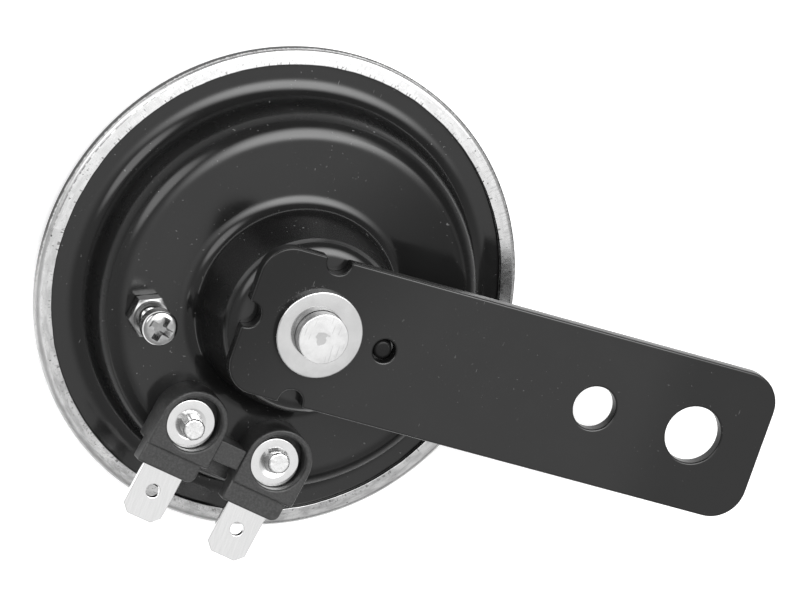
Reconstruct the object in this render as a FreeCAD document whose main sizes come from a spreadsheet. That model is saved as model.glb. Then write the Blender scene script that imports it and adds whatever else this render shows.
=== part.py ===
import FreeCAD, Part
import math
import os
import Sketcher

doc = FreeCAD.newDocument("car_horn")
V = FreeCAD.Vector

# Sizes in millimetres and degrees. +Z points to the back of the horn, z = 0 is the front of the rim,
# +X runs along the bracket. A value that starts with "=" follows from the others.
SIZES = [
    # rim ring, rolled over the edge of the stack
    ("rim_r", 35.66), ("rim_skin", 0.7), ("rim_front_turn", 3.66), ("rim_back_turn", 2.46),
    ("rim_front_lip_r", "=rim_r - rim_front_turn"), ("rim_back_lip_r", "=rim_r - rim_back_turn"),
    ("rim_front_round", 2.3), ("rim_back_round", 0.8),
    ("rim_front_round_in", "=rim_front_round - rim_skin"),
    ("rim_in_r", "=rim_r - rim_skin"),
    # clearances
    ("play", 0.05), ("slide_clear", 0.1), ("tip_gap", 0.05), ("seam_gap", 0.2),
    # clamped stack, front to back
    ("gasket", 0.3), ("film", 0.4), ("skin", 1.0),
    ("gasket_front_z", "=rim_skin"), ("diaphragm_z", "=gasket_front_z + gasket"),
    ("gasket_back_z", "=diaphragm_z + film"), ("flange_z", "=gasket_back_z + gasket"),
    ("flange_top", "=flange_z + skin"), ("rim_top", "=flange_top + rim_skin"),
    ("flange_r", "=rim_in_r - seam_gap"), ("diaphragm_edge", 0.6),
    ("diaphragm_r", "=flange_r - diaphragm_edge"),
    ("gasket_front_r", "=rim_in_r - rim_front_round_in - play"), ("gasket_show", 0.8),
    ("gasket_front_in", "=rim_front_lip_r - gasket_show"), ("gasket_back_r", "=flange_r - seam_gap"),
    # pressed shell
    ("shelf_top", 11.95), ("shelf_in", "=shelf_top - skin"), ("neck_top", 22.65),
    ("neck_in", "=neck_top - skin"),
    ("wall_lean", 5.0), ("neck_lean", 12.0),
    ("shoulder_share", 0.775659), ("shoulder_r", "=rim_r * shoulder_share"),
    ("neck_share", 0.453362), ("neck_edge_r", "=shoulder_r * neck_share"),
    ("foot_r", "=shoulder_r + (shelf_top - flange_top) * tan(wall_lean * 1deg)"),
    ("shoulder_in_r", "=shoulder_r + skin * tan(wall_lean * 1deg) - skin / cos(wall_lean * 1deg)"),
    ("foot_in_r",
     "=shoulder_r + (shelf_top - flange_z) * tan(wall_lean * 1deg) - skin / cos(wall_lean * 1deg)"),
    ("neck_foot_r", "=neck_edge_r + (neck_top - shelf_top) * tan(neck_lean * 1deg)"),
    ("neck_edge_in_r", "=neck_edge_r + skin * tan(neck_lean * 1deg) - skin / cos(neck_lean * 1deg)"),
    ("neck_foot_in_r",
     "=neck_edge_r + (neck_top - shelf_in) * tan(neck_lean * 1deg) - skin / cos(neck_lean * 1deg)"),
    ("foot_round", 3.1), ("foot_round_in", "=foot_round + skin"),
    ("shoulder_round", 3.6), ("shoulder_round_in", "=shoulder_round - skin"),
    ("neck_foot_round", 2.5), ("neck_foot_round_in", "=neck_foot_round + skin"),
    ("neck_edge_round", 2.4), ("neck_edge_round_in", "=neck_edge_round - skin"),
    ("wall_bend", "=tan((90 - wall_lean) / 2 * 1deg)"),
    ("neck_bend", "=tan((90 - neck_lean) / 2 * 1deg)"),
    ("shelf_flat_r", "=shoulder_in_r - shoulder_round_in * wall_bend - play"),
    ("shelf_near_r", "=neck_foot_r + neck_foot_round * neck_bend"),
    ("gasket_back_in", "=foot_in_r + foot_round_in * wall_bend + seam_gap"),
    ("pip_in", 2.14), ("pip_x", "=neck_edge_r - pip_in"), ("pip_r", 1.45), ("pip_root", 22.0),
    ("pip_top", 23.9), ("pip_round", 0.6),
    # bracket and its riveted joint
    ("bracket_t", 2.0), ("bracket_top", "=neck_top + bracket_t"), ("bracket_y", 11.07),
    ("bracket_near_x", 11.1),
    ("bracket_far_x", 69.95), ("bracket_near_round", 4.5), ("bracket_far_round", 5.0),
    ("bolt_hole_x", 59.3), ("bolt_hole_r", 4.2), ("small_hole_x", 43.6), ("small_hole_r", 3.2),
    ("pip_hole_r", 1.7),
    ("notch_shift", 0.4), ("notch_half", 1.85), ("notch_depth", 2.2), ("notch_round", 1.8),
    ("notch_left", "=notch_shift + notch_half"), ("notch_right", "=notch_half - notch_shift"),
    ("notch_floor_y", "=bracket_y - notch_depth"), ("notch_floor_x", "=bracket_near_x - notch_depth"),
    ("over", 1.0),
    ("washer_r", 6.35), ("washer_t", 1.0), ("washer_top", "=bracket_top + washer_t"),
    ("washer_ring_r", 4.5), ("washer_ring_z", "=washer_top - 0.2"),
    ("tail_r", 3.65), ("tail_out", 2.0), ("tail_top", "=washer_top + tail_out"),
    ("tail_hole_r", "=tail_r + play"), ("tail_round", 0.3),
    ("punch_r", 0.9), ("punch_z", "=tail_top - 0.6"),
    # magnet
    ("core_r", 5.0), ("core_z", 13.3), ("bobbin_in_r", "=core_r + slide_clear"), ("bobbin_tube_r", 5.9),
    ("bobbin_flange", 0.8), ("bobbin_top", "=neck_in - slide_clear"),
    ("bobbin_top_r", "=neck_edge_in_r - neck_edge_round_in - slide_clear"), ("bobbin_foot_in", 2.5),
    ("bobbin_foot_r", "=neck_foot_in_r - bobbin_foot_in"), ("winding_in", 0.3),
    ("winding_z", "=shelf_in + bobbin_flange"), ("winding_top", "=bobbin_top - bobbin_flange"),
    ("winding_r", "=bobbin_top_r - winding_in"),
    ("cover_t", 1.0), ("cover_z", "=shelf_in - cover_t"), ("cover_over", 5.6),
    ("cover_r", "=neck_foot_in_r + cover_over"), ("cover_hole_r", 5.1),
    ("lead_r", 0.35), ("lead_hole_r", 0.8), ("lead_ring_r", 8.6),
    ("lead_a_angle", -80.0), ("lead_a_x", "=lead_ring_r * cos(lead_a_angle * 1deg)"),
    ("lead_a_y", "=lead_ring_r * sin(lead_a_angle * 1deg)"),
    ("lead_b_angle", 125.0), ("lead_b_x", "=lead_ring_r * cos(lead_b_angle * 1deg)"),
    ("lead_b_y", "=lead_ring_r * sin(lead_b_angle * 1deg)"),
    ("lead_z", 9.45), ("lead_bend", 0.8),
    # diaphragm, armature and tone disc
    ("stud_r", 2.45), ("stud_hole_r", "=stud_r + play"), ("stud_end", 0.8),
    ("centre_z", 5.2), ("step_out", 1.85), ("step_in", 1.55), ("step_back", 0.15), ("step_top_z", 4.1),
    ("seat_r", 8.5),
    ("step_r", "=foot_in_r + step_out"), ("step_top_r", "=foot_in_r - step_in"),
    ("step_back_r", "=step_r + step_back"), ("step_top_back_r", "=step_top_r + step_back"),
    ("flange_back", "=centre_z + film"), ("arm_flange_t", 0.8), ("arm_flange_r", 7.5),
    ("plunger_z", "=flange_back + arm_flange_t"), ("plunger_r", 4.5), ("plunger_top", 12.6),
    ("plunger_edge", 0.4),
    ("plunger_edge_r", "=plunger_r - plunger_edge"), ("plunger_edge_z", "=plunger_top - plunger_edge"),
    ("pusher_in_r", "=plunger_r + slide_clear"), ("pusher_r", 7.0), ("pusher_top", 8.6),
    ("spacer_t", 0.6), ("spacer_r", 7.0), ("spacer_z", "=centre_z - spacer_t"),
    ("disc_t", 1.0), ("disc_z", "=spacer_z - disc_t"), ("disc_seat_r", 8.0), ("disc_mid_r", 13.0),
    ("disc_mid_z", 2.75),
    ("disc_in", 6.0), ("disc_r", "=rim_front_lip_r - disc_in"), ("disc_band", 4.0),
    ("disc_low_r", "=disc_r - disc_band"),
    ("disc_low_z", 1.2),
    ("spring_t", 0.4), ("spring_z", "=disc_z - spring_t"), ("spring_r", 4.6),
    ("disc_nut_t", 2.0), ("disc_nut_z", "=spring_z - disc_nut_t"), ("disc_nut_half", 4.0),
    # adjusting screw and lock nut
    ("terminal_out", 0.43), ("terminal_r", "=(shelf_near_r + shelf_flat_r) / 2 + terminal_out"),
    ("screw_over", 0.6), ("screw_ring_r", "=terminal_r + screw_over"), ("screw_angle", 197.45),
    ("screw_x", "=screw_ring_r * cos(screw_angle * 1deg)"),
    ("screw_y", "=screw_ring_r * sin(screw_angle * 1deg)"),
    ("screw_r", 1.5), ("screw_tip_r", 1.0), ("screw_hole_r", "=screw_r + play"),
    ("nut_half", 2.75), ("nut_t", 2.4), ("nut_top", "=shelf_top + nut_t"), ("nut_turn", 20.06),
    ("nut_edge", 0.35),
    ("head_r", 2.6), ("head_z", 17.3), ("head_top", 19.7), ("head_edge", 0.3),
    ("head_edge_r", "=head_r - head_edge"), ("head_edge_z", "=head_top - head_edge"),
    ("cross_long", 1.75), ("cross_half", 0.5), ("cross_depth", 1.3), ("cross_turn", 76.0),
    ("pad_r", 2.0), ("pad_t", 0.6),
    # terminals, in a frame turned by terminal_angle so that x points outward
    ("terminal_angle", -99.3), ("terminal_share", 0.33666), ("terminal_shift", 0.4),
    ("terminal_half", "=terminal_r * terminal_share"),
    ("terminal_left", "=terminal_shift - terminal_half"),
    ("terminal_right", "=terminal_shift + terminal_half"),
    ("block_top", 16.75), ("boss_r", 5.0), ("boss_in", 0.43), ("boss_x", "=terminal_r - boss_in"),
    ("boss_long", 4.8), ("boss_end", "=terminal_r + boss_long"),
    ("recess_r", 4.05), ("recess_z", 13.8),
    ("lip_long", 2.9), ("lip_end", "=boss_end + lip_long"), ("lip_z", 14.1), ("lip_top", 16.35),
    ("lip_short", 4.15), ("lip_round", 1.2),
    ("bridge_near", 0.07), ("bridge_x", "=terminal_r + bridge_near"),
    ("bridge_long", 3.1), ("bridge_end", "=bridge_x + bridge_long"), ("bridge_half", 2.4),
    ("bridge_top", 16.25),
    ("ledge_long", 2.4), ("ledge_end", "=bridge_end + ledge_long"), ("ledge_top", 13.2),
    ("sleeve_r", 1.8), ("sleeve_hole_r", "=sleeve_r + play"),
    ("blade_t", 0.8), ("blade_half", 3.15), ("blade_base_r", 3.6), ("blade_tip", 15.5),
    ("blade_cut", 1.2),
    ("blade_hole_x", 11.1), ("blade_hole_r", 1.0), ("blade_top", "=recess_z + blade_t"),
    ("slot_half", "=blade_half + play"), ("slot_top", "=blade_top + play"),
    ("blade_cut_x", "=blade_tip - blade_cut"),
    ("blade_cut_y", "=blade_half - blade_cut"),
    ("tab_washer_r", 3.6), ("tab_washer_t", 0.6), ("tab_washer_top", "=blade_top + tab_washer_t"),
    ("rivet_r", 1.2), ("rivet_hole_r", "=rivet_r + play"), ("rivet_end_r", 1.6), ("rivet_top", 16.6),
    ("rivet_head_r", 2.3), ("rivet_head_t", 0.8), ("insulator_t", 1.0),
    ("insulator_z", "=shelf_in - insulator_t"),
    ("relief", 0.4), ("relief_r", "=shelf_near_r + slide_clear"), ("insulator_near", 3.8),
    ("insulator_long", 5.0),
    ("insulator_x", "=terminal_r - insulator_near"), ("insulator_far", "=terminal_r + insulator_long"),
    ("insulator_y", 10.4), ("cover_flat_gap", 0.7), ("cover_flat", "=insulator_x - cover_flat_gap"),
    ("inner_t", 0.5), ("inner_z", "=insulator_z - inner_t"), ("inner_r", 3.4),
    ("rivet_head_z", "=inner_z - rivet_head_t"),
    ("left_x", "=terminal_r * cos(terminal_angle * 1deg) - terminal_left * sin(terminal_angle * 1deg)"),
    ("left_y", "=terminal_r * sin(terminal_angle * 1deg) + terminal_left * cos(terminal_angle * 1deg)"),
    ("right_x", "=terminal_r * cos(terminal_angle * 1deg) - terminal_right * sin(terminal_angle * 1deg)"),
    ("right_y", "=terminal_r * sin(terminal_angle * 1deg) + terminal_right * cos(terminal_angle * 1deg)"),
    # contact set: the fixed arm runs from the left terminal rivet to the screw, the moving arm from
    # its stack
    ("fixed_dx", "=screw_x - left_x"), ("fixed_dy", "=screw_y - left_y"),
    ("fixed_reach", "=sqrt(fixed_dx * fixed_dx + fixed_dy * fixed_dy)"),
    ("fixed_angle", "=180 + atan(fixed_dy / fixed_dx) / 1deg"),
    ("fixed_half", 2.8), ("fixed_t", 0.5), ("fixed_z", 7.4), ("fixed_top", "=fixed_z + fixed_t"),
    ("fixed_back", 3.0), ("fixed_jog", 4.2), ("fixed_jog_end", 7.2), ("fixed_end", "=fixed_reach + 2.6"),
    ("point_along", 10.3), ("point_x", "=left_x + point_along * fixed_dx / fixed_reach"),
    ("point_y", "=left_y + point_along * fixed_dy / fixed_reach"), ("point_r", 1.5), ("point_z", 8.55),
    ("stack_in", 3.34), ("stack_x", "=(stack_in - cover_r) * sqrt(0.5)"),
    ("stack_y", "=(cover_r - stack_in) * sqrt(0.5)"),
    ("moving_dx", "=point_x - stack_x"), ("moving_dy", "=point_y - stack_y"),
    ("moving_reach", "=sqrt(moving_dx * moving_dx + moving_dy * moving_dy)"),
    ("moving_angle", "=180 + atan(moving_dy / moving_dx) / 1deg"),
    ("moving_z", 9.2), ("moving_t", 0.3), ("moving_top", "=moving_z + moving_t"), ("moving_half", 2.4),
    ("moving_back", 6.0), ("moving_end", "=moving_reach + 2.2"), ("tongue_x", 8.7), ("tongue_half", 2.2),
    ("tongue_near", "=tongue_x - tongue_half"), ("tongue_far", "=tongue_x + tongue_half"),
    ("tongue_end", 8.0),
    ("stack_half_x", 3.6), ("stack_half_y", 2.5), ("spacer_low_t", 0.5),
    ("spacer_low_z", "=moving_z - spacer_low_t"),
    ("clamp_t", 0.5), ("clamp_z", "=spacer_low_z - clamp_t"), ("stack_rivet_x", 2.2),
    ("stack_rivet_r", 0.9),
    ("stack_hole_r", "=stack_rivet_r + play"), ("stack_head_r", 1.3), ("stack_head_t", 0.6),
    ("stack_head_z", "=clamp_z - stack_head_t"), ("joint_back", 0.6),
    # hexagons
    ("nut_corner", "=nut_half / cos(30deg)"), ("nut_corner_half", "=nut_corner / 2"),
    ("nut_over", "=nut_corner + 1"), ("nut_edge_r", "=nut_half * 0.97"),
    ("nut_edge_z", "=nut_top - nut_edge"),
    ("disc_nut_corner", "=disc_nut_half / cos(30deg)"), ("disc_nut_corner_half", "=disc_nut_corner / 2"),
    # holes of the cover plate, in its turned frame
    ("cover_lead_a_x", "=lead_ring_r * cos((lead_a_angle - terminal_angle) * 1deg)"),
    ("cover_lead_a_y", "=lead_ring_r * sin((lead_a_angle - terminal_angle) * 1deg)"),
    ("cover_lead_b_x", "=lead_ring_r * cos((lead_b_angle - terminal_angle) * 1deg)"),
    ("cover_lead_b_y", "=lead_ring_r * sin((lead_b_angle - terminal_angle) * 1deg)"),
    ("stack_near_x", "=stack_x + stack_rivet_x * moving_dx / moving_reach"),
    ("stack_near_y", "=stack_y + stack_rivet_x * moving_dy / moving_reach"),
    ("stack_far_x", "=stack_x - stack_rivet_x * moving_dx / moving_reach"),
    ("stack_far_y", "=stack_y - stack_rivet_x * moving_dy / moving_reach"),
    ("cover_near_x",
     "=stack_near_x * cos(terminal_angle * 1deg) + stack_near_y * sin(terminal_angle * 1deg)"),
    ("cover_near_y",
     "=stack_near_y * cos(terminal_angle * 1deg) - stack_near_x * sin(terminal_angle * 1deg)"),
    ("cover_far_x",
     "=stack_far_x * cos(terminal_angle * 1deg) + stack_far_y * sin(terminal_angle * 1deg)"),
    ("cover_far_y",
     "=stack_far_y * cos(terminal_angle * 1deg) - stack_far_x * sin(terminal_angle * 1deg)"),
]

sheet = doc.addObject("Spreadsheet::Sheet", "Sizes")
for row, (name, number) in enumerate(SIZES, 1):
    sheet.set("A%d" % row, name)
    sheet.set("B%d" % row, str(number))
    sheet.setAlias("B%d" % row, name)
doc.recompute()


def num(spec):
    """The number behind a spec such as "rim_r - play": names joined by + and -, or 0."""
    total, sign = 0.0, 1
    for word in spec.split():
        if word in "+-":
            sign = 1 if word == "+" else -1
        elif word != "0":
            got = sheet.get(word)
            total += sign * float(getattr(got, "Value", got))
    return total


def expr(spec):
    return " ".join(w if w in "+-0" else "Sizes." + w for w in spec.split())


def new_body(name, at=None, turn=None):
    body = doc.addObject("PartDesign::Body", name)
    body.Label = name
    if at:
        body.setExpression(".Placement.Base.x", expr(at[0]))
        body.setExpression(".Placement.Base.y", expr(at[1]))
    if turn:
        body.setExpression(".Placement.Rotation.Angle", expr(turn))
    return body


def new_sketch(body, tag, role="XY_Plane", level=None):
    sketch = body.newObject("Sketcher::SketchObject", body.Name + "_" + tag)
    plane = [f for f in body.Origin.OriginFeatures if f.Role == role][0]
    sketch.AttachmentSupport = [(plane, "")]
    sketch.MapMode = "FlatFace"
    if level:
        sketch.setExpression(".AttachmentOffset.Base.z", expr(level))
    return sketch


def pin_point(sketch, geo, pos, x, y):
    for kind, spec, axis in (("DistanceX", x, -2), ("DistanceY", y, -1)):
        n = num(spec)
        if abs(n) < 1e-9:
            sketch.addConstraint(Sketcher.Constraint("PointOnObject", geo, pos, axis))
            continue
        if n > 0:
            index = sketch.addConstraint(Sketcher.Constraint(kind, -1, 1, geo, pos, n))
            sketch.setExpression("Constraints[%d]" % index, expr(spec))
        else:
            index = sketch.addConstraint(Sketcher.Constraint(kind, geo, pos, -1, 1, -n))
            sketch.setExpression("Constraints[%d]" % index, "-(%s)" % expr(spec))


def outline(sketch, points):
    """A closed outline through points, each an (x, y) pair of specs."""
    first, count = sketch.GeometryCount, len(points)
    where = [V(num(x), num(y), 0) for x, y in points]
    for i in range(count):
        sketch.addGeometry(Part.LineSegment(where[i], where[(i + 1) % count]))
    for i in range(count):
        sketch.addConstraint(Sketcher.Constraint("Coincident", first + i, 2, first + (i + 1) % count, 1))
    for i, (x, y) in enumerate(points):
        pin_point(sketch, first + i, 1, x, y)


def box(sketch, x0, x1, y0, y1):
    outline(sketch, [(x0, y0), (x1, y0), (x1, y1), (x0, y1)])


def circle(sketch, x, y, r):
    geo = sketch.addGeometry(Part.Circle(V(num(x), num(y), 0), V(0, 0, 1), num(r)))
    index = sketch.addConstraint(Sketcher.Constraint("Radius", geo, num(r)))
    sketch.setExpression("Constraints[%d]" % index, expr(r))
    pin_point(sketch, geo, 3, x, y)


def feature(body, kind, tag, sketch):
    made = body.newObject("PartDesign::" + kind, body.Name + "_" + tag)
    made.Profile = sketch
    return made


def pad(body, tag, sketch, length, both=False):
    made = feature(body, "Pad", tag, sketch)
    made.setExpression("Length", expr(length))
    made.Midplane = both
    doc.recompute()
    return made


def pocket(body, tag, sketch, depth):
    made = feature(body, "Pocket", tag, sketch)
    made.setExpression("Length", expr(depth))
    doc.recompute()
    return made


def turn(body, tag, points, cut=False):
    """A revolved outline in the x z plane of the body, added or cut."""
    sketch = new_sketch(body, tag + "_outline", "XZ_Plane")
    outline(sketch, points)
    made = feature(body, "Groove" if cut else "Revolution", tag, sketch)
    made.ReferenceAxis = (sketch, ["V_Axis"])
    made.Angle = 360.0
    doc.recompute()
    return made


def fillet(body, tag, radius, pick):
    """Round every edge of the newest shape that pick accepts."""
    base = body.Tip
    names = ["Edge%d" % i for i, e in enumerate(base.Shape.Edges, 1) if pick(e)]
    made = body.newObject("PartDesign::Fillet", body.Name + "_" + tag)
    made.Base = (base, names)
    made.setExpression("Radius", expr(radius))
    doc.recompute()
    return made


def ring(r, z):
    """Pick the circle of radius r round the body's axis at height z."""
    def pick(edge):
        curve = edge.Curve
        return (isinstance(curve, Part.Circle) and abs(curve.Radius - num(r)) < 1e-4
                and abs(curve.Center.z - num(z)) < 1e-4)
    return pick


def post(*places):
    """Pick the upright edges that stand at the given (x, y) places."""
    def pick(edge):
        if len(edge.Vertexes) != 2 or not isinstance(edge.Curve, Part.Line):
            return False
        a, b = edge.Vertexes[0].Point, edge.Vertexes[1].Point
        return (abs(a.x - b.x) + abs(a.y - b.y) < 1e-5 and abs(a.z - b.z) > 1e-3
                and any(abs(a.x - num(x)) + abs(a.y - num(y)) < 1e-4 for x, y in places))
    return pick


def turned(name, points, at=None, rot=None):
    body = new_body(name, at, rot)
    turn(body, "turn", points)
    return body


def washer(name, r_in, r_out, z0, z1, at=None):
    return turned(name, [(r_in, z0), (r_out, z0), (r_out, z1), (r_in, z1)], at)


def hexagon(sketch, half, corner, half_corner):
    outline(sketch, [(corner, "0"), (half_corner, half), ("0 - " + half_corner, half),
                     ("0 - " + corner, "0"), ("0 - " + half_corner, "0 - " + half),
                     (half_corner, "0 - " + half)])


TERMINALS = ("left", "right")
SIDE = {"left": "terminal_left", "right": "terminal_right"}

# Rim ring
b = turned("rim_ring", [
    ("rim_front_lip_r", "0"), ("rim_r", "0"), ("rim_r", "rim_top"), ("rim_back_lip_r", "rim_top"),
    ("rim_back_lip_r", "flange_top"), ("rim_in_r", "flange_top"), ("rim_in_r", "rim_skin"),
    ("rim_front_lip_r", "rim_skin")])
fillet(b, "front_inner", "rim_front_round_in", ring("rim_in_r", "rim_skin"))
fillet(b, "front", "rim_front_round", ring("rim_r", "0"))
fillet(b, "back", "rim_back_round", ring("rim_r", "rim_top"))

# Gaskets on both sides of the diaphragm
washer("front_gasket", "gasket_front_in", "gasket_front_r", "gasket_front_z", "diaphragm_z")
washer("rear_gasket", "gasket_back_in", "gasket_back_r", "gasket_back_z", "flange_z")

# Pressed shell with its neck
b = turned("housing", [
    ("flange_r", "flange_z"), ("flange_r", "flange_top"), ("foot_r", "flange_top"),
    ("shoulder_r", "shelf_top"), ("neck_foot_r", "shelf_top"), ("neck_edge_r", "neck_top"),
    ("tail_hole_r", "neck_top"), ("tail_hole_r", "neck_in"), ("neck_edge_in_r", "neck_in"),
    ("neck_foot_in_r", "shelf_in"), ("shoulder_in_r", "shelf_in"), ("foot_in_r", "flange_z")])
for tag, radius, r, z in (
        ("foot", "foot_round", "foot_r", "flange_top"),
        ("foot_in", "foot_round_in", "foot_in_r", "flange_z"),
        ("shoulder", "shoulder_round", "shoulder_r", "shelf_top"),
        ("shoulder_in", "shoulder_round_in", "shoulder_in_r", "shelf_in"),
        ("neck_foot", "neck_foot_round", "neck_foot_r", "shelf_top"),
        ("neck_foot_in", "neck_foot_round_in", "neck_foot_in_r", "shelf_in"),
        ("neck_edge", "neck_edge_round", "neck_edge_r", "neck_top"),
        ("neck_edge_in", "neck_edge_round_in", "neck_edge_in_r", "neck_in")):
    fillet(b, tag, radius, ring(r, z))
s = new_sketch(b, "pip_outline", level="pip_root")
circle(s, "pip_x", "0", "pip_r")
pad(b, "pip", s, "pip_top - pip_root")
fillet(b, "pip_round", "pip_round", lambda e: isinstance(e.Curve, Part.Circle)
       and abs(e.Curve.Radius - num("pip_r")) < 1e-4 and abs(e.Curve.Center.z - num("pip_top")) < 1e-4)
s = new_sketch(b, "holes_outline", level="shelf_top + over")
circle(s, "screw_x", "screw_y", "screw_hole_r")
circle(s, "left_x", "left_y", "sleeve_hole_r")
circle(s, "right_x", "right_y", "sleeve_hole_r")
pocket(b, "holes", s, "skin + over + over")

# Diaphragm: flat rim, formed step, shallow cone, flat seat
turned("diaphragm", [
    ("stud_hole_r", "centre_z"), ("seat_r", "centre_z"), ("step_top_r", "step_top_z"),
    ("step_r", "diaphragm_z"), ("diaphragm_r", "diaphragm_z"), ("diaphragm_r", "gasket_back_z"),
    ("step_back_r", "gasket_back_z"), ("step_top_back_r", "step_top_z + film"), ("seat_r", "flange_back"),
    ("stud_hole_r", "flange_back")])

# Armature with flange and stud, and what the stud carries
turned("armature", [
    ("0", "stud_end"), ("stud_r", "stud_end"), ("stud_r", "flange_back"), ("arm_flange_r", "flange_back"),
    ("arm_flange_r", "plunger_z"), ("plunger_r", "plunger_z"), ("plunger_r", "plunger_edge_z"),
    ("plunger_edge_r", "plunger_top"), ("0", "plunger_top")])
washer("armature_pusher", "pusher_in_r", "pusher_r", "plunger_z", "pusher_top")
washer("diaphragm_spacer", "stud_hole_r", "spacer_r", "spacer_z", "centre_z")
turned("tone_disc", [
    ("stud_hole_r", "disc_z"), ("disc_seat_r", "disc_z"), ("disc_mid_r", "disc_mid_z"),
    ("disc_low_r", "disc_low_z"), ("disc_r", "disc_low_z"), ("disc_r", "disc_low_z + disc_t"),
    ("disc_low_r", "disc_low_z + disc_t"), ("disc_mid_r", "disc_mid_z + disc_t"),
    ("disc_seat_r", "spacer_z"), ("stud_hole_r", "spacer_z")])
washer("spring_washer", "stud_hole_r", "spring_r", "spring_z", "disc_z")
b = new_body("tone_disc_nut")
s = new_sketch(b, "outline", level="disc_nut_z")
hexagon(s, "disc_nut_half", "disc_nut_corner", "disc_nut_corner_half")
circle(s, "0", "0", "stud_hole_r")
pad(b, "pad", s, "disc_nut_t")

# Magnet: fixed core with riveted tail, bobbin, winding, cover plate
b = turned("fixed_core", [
    ("0", "core_z"), ("core_r", "core_z"), ("core_r", "neck_in"), ("tail_r", "neck_in"),
    ("tail_r", "tail_top"), ("punch_r", "tail_top"), ("0", "punch_z")])
fillet(b, "tail_round", "tail_round", ring("tail_r", "tail_top"))
b = turned("coil_bobbin", [
    ("bobbin_in_r", "shelf_in"), ("bobbin_foot_r", "shelf_in"), ("bobbin_foot_r", "winding_z"),
    ("bobbin_tube_r", "winding_z"), ("bobbin_tube_r", "winding_top"), ("bobbin_top_r", "winding_top"),
    ("bobbin_top_r", "bobbin_top"), ("bobbin_in_r", "bobbin_top")])
s = new_sketch(b, "lead_holes_outline", level="winding_z")
circle(s, "lead_a_x", "lead_a_y", "lead_hole_r")
circle(s, "lead_b_x", "lead_b_y", "lead_hole_r")
pocket(b, "lead_holes", s, "bobbin_flange + over")
washer("coil_winding", "bobbin_tube_r", "winding_r", "winding_z", "winding_top")

b = new_body("cover_plate", turn="terminal_angle")
turn(b, "plate", [("cover_hole_r", "cover_z"), ("cover_r", "cover_z"), ("cover_r", "shelf_in"),
                  ("cover_hole_r", "shelf_in")])
s = new_sketch(b, "flat_outline", level="shelf_in")
box(s, "cover_flat", "cover_r + over", "0 - cover_r", "cover_r")
pocket(b, "flat", s, "cover_t + over")
s = new_sketch(b, "holes_outline", level="shelf_in")
circle(s, "cover_lead_a_x", "cover_lead_a_y", "lead_hole_r")
circle(s, "cover_lead_b_x", "cover_lead_b_y", "lead_hole_r")
circle(s, "cover_near_x", "cover_near_y", "stack_hole_r")
circle(s, "cover_far_x", "cover_far_y", "stack_hole_r")
pocket(b, "holes", s, "cover_t + over")

# Bracket and its washer
b = new_body("bracket")
s = new_sketch(b, "outline", level="neck_top")
outline(s, [
    ("0 - bracket_near_x", "0 - bracket_y"),
    ("0 - notch_left", "0 - bracket_y"), ("0 - notch_left", "0 - notch_floor_y"),
    ("notch_right", "0 - notch_floor_y"), ("notch_right", "0 - bracket_y"),
    ("bracket_far_x", "0 - bracket_y"), ("bracket_far_x", "bracket_y"),
    ("notch_right", "bracket_y"), ("notch_right", "notch_floor_y"),
    ("0 - notch_left", "notch_floor_y"), ("0 - notch_left", "bracket_y"),
    ("0 - bracket_near_x", "bracket_y"),
    ("0 - bracket_near_x", "notch_half"), ("0 - notch_floor_x", "notch_half"),
    ("0 - notch_floor_x", "0 - notch_half"), ("0 - bracket_near_x", "0 - notch_half")])
circle(s, "0", "0", "tail_hole_r")
circle(s, "pip_x", "0", "pip_hole_r")
circle(s, "small_hole_x", "0", "small_hole_r")
circle(s, "bolt_hole_x", "0", "bolt_hole_r")
pad(b, "strip", s, "bracket_t")
fillet(b, "near_round", "bracket_near_round", post(
    ("0 - bracket_near_x", "bracket_y"), ("0 - bracket_near_x", "0 - bracket_y")))
fillet(b, "far_round", "bracket_far_round", post(
    ("bracket_far_x", "bracket_y"), ("bracket_far_x", "0 - bracket_y")))
fillet(b, "notch_round", "notch_round", post(
    ("notch_right", "notch_floor_y"), ("0 - notch_left", "notch_floor_y"),
    ("notch_right", "0 - notch_floor_y"), ("0 - notch_left", "0 - notch_floor_y"),
    ("0 - notch_floor_x", "notch_half"), ("0 - notch_floor_x", "0 - notch_half")))
turned("bracket_washer", [
    ("tail_hole_r", "bracket_top"), ("washer_r", "bracket_top"), ("washer_r", "washer_top"),
    ("washer_ring_r", "washer_top"), ("washer_ring_r", "washer_ring_z"), ("tail_hole_r", "washer_ring_z")])

# Adjusting screw, its lock nut and the pad under its tip
b = new_body("lock_nut", at=("screw_x", "screw_y"), turn="nut_turn")
s = new_sketch(b, "outline", level="shelf_top")
hexagon(s, "nut_half", "nut_corner", "nut_corner_half")
circle(s, "0", "0", "screw_hole_r")
pad(b, "pad", s, "nut_t")
turn(b, "edge", [("nut_edge_r", "nut_top"), ("nut_over", "nut_edge_z - nut_edge"),
                 ("nut_over", "nut_top + nut_edge"), ("nut_edge_r", "nut_top + nut_edge")], cut=True)
b = turned("adjusting_screw", [
    ("0", "fixed_top + pad_t + tip_gap"), ("screw_tip_r", "fixed_top + pad_t + tip_gap"),
    ("screw_r", "moving_z"), ("screw_r", "head_z"), ("head_r", "head_z"), ("head_r", "head_edge_z"),
    ("head_edge_r", "head_top"), ("0", "head_top")], at=("screw_x", "screw_y"), rot="cross_turn")
s = new_sketch(b, "cross_outline", level="head_top")
h, l = "cross_half", "cross_long"
outline(s, [(h, h), (l, h), (l, "0 - " + h), (h, "0 - " + h), (h, "0 - " + l), ("0 - " + h, "0 - " + l),
            ("0 - " + h, "0 - " + h), ("0 - " + l, "0 - " + h), ("0 - " + l, h), ("0 - " + h, h),
            ("0 - " + h, l), (h, l)])
pocket(b, "cross", s, "cross_depth")
washer("screw_pad", "0", "pad_r", "fixed_top", "fixed_top + pad_t", at=("screw_x", "screw_y"))

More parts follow.
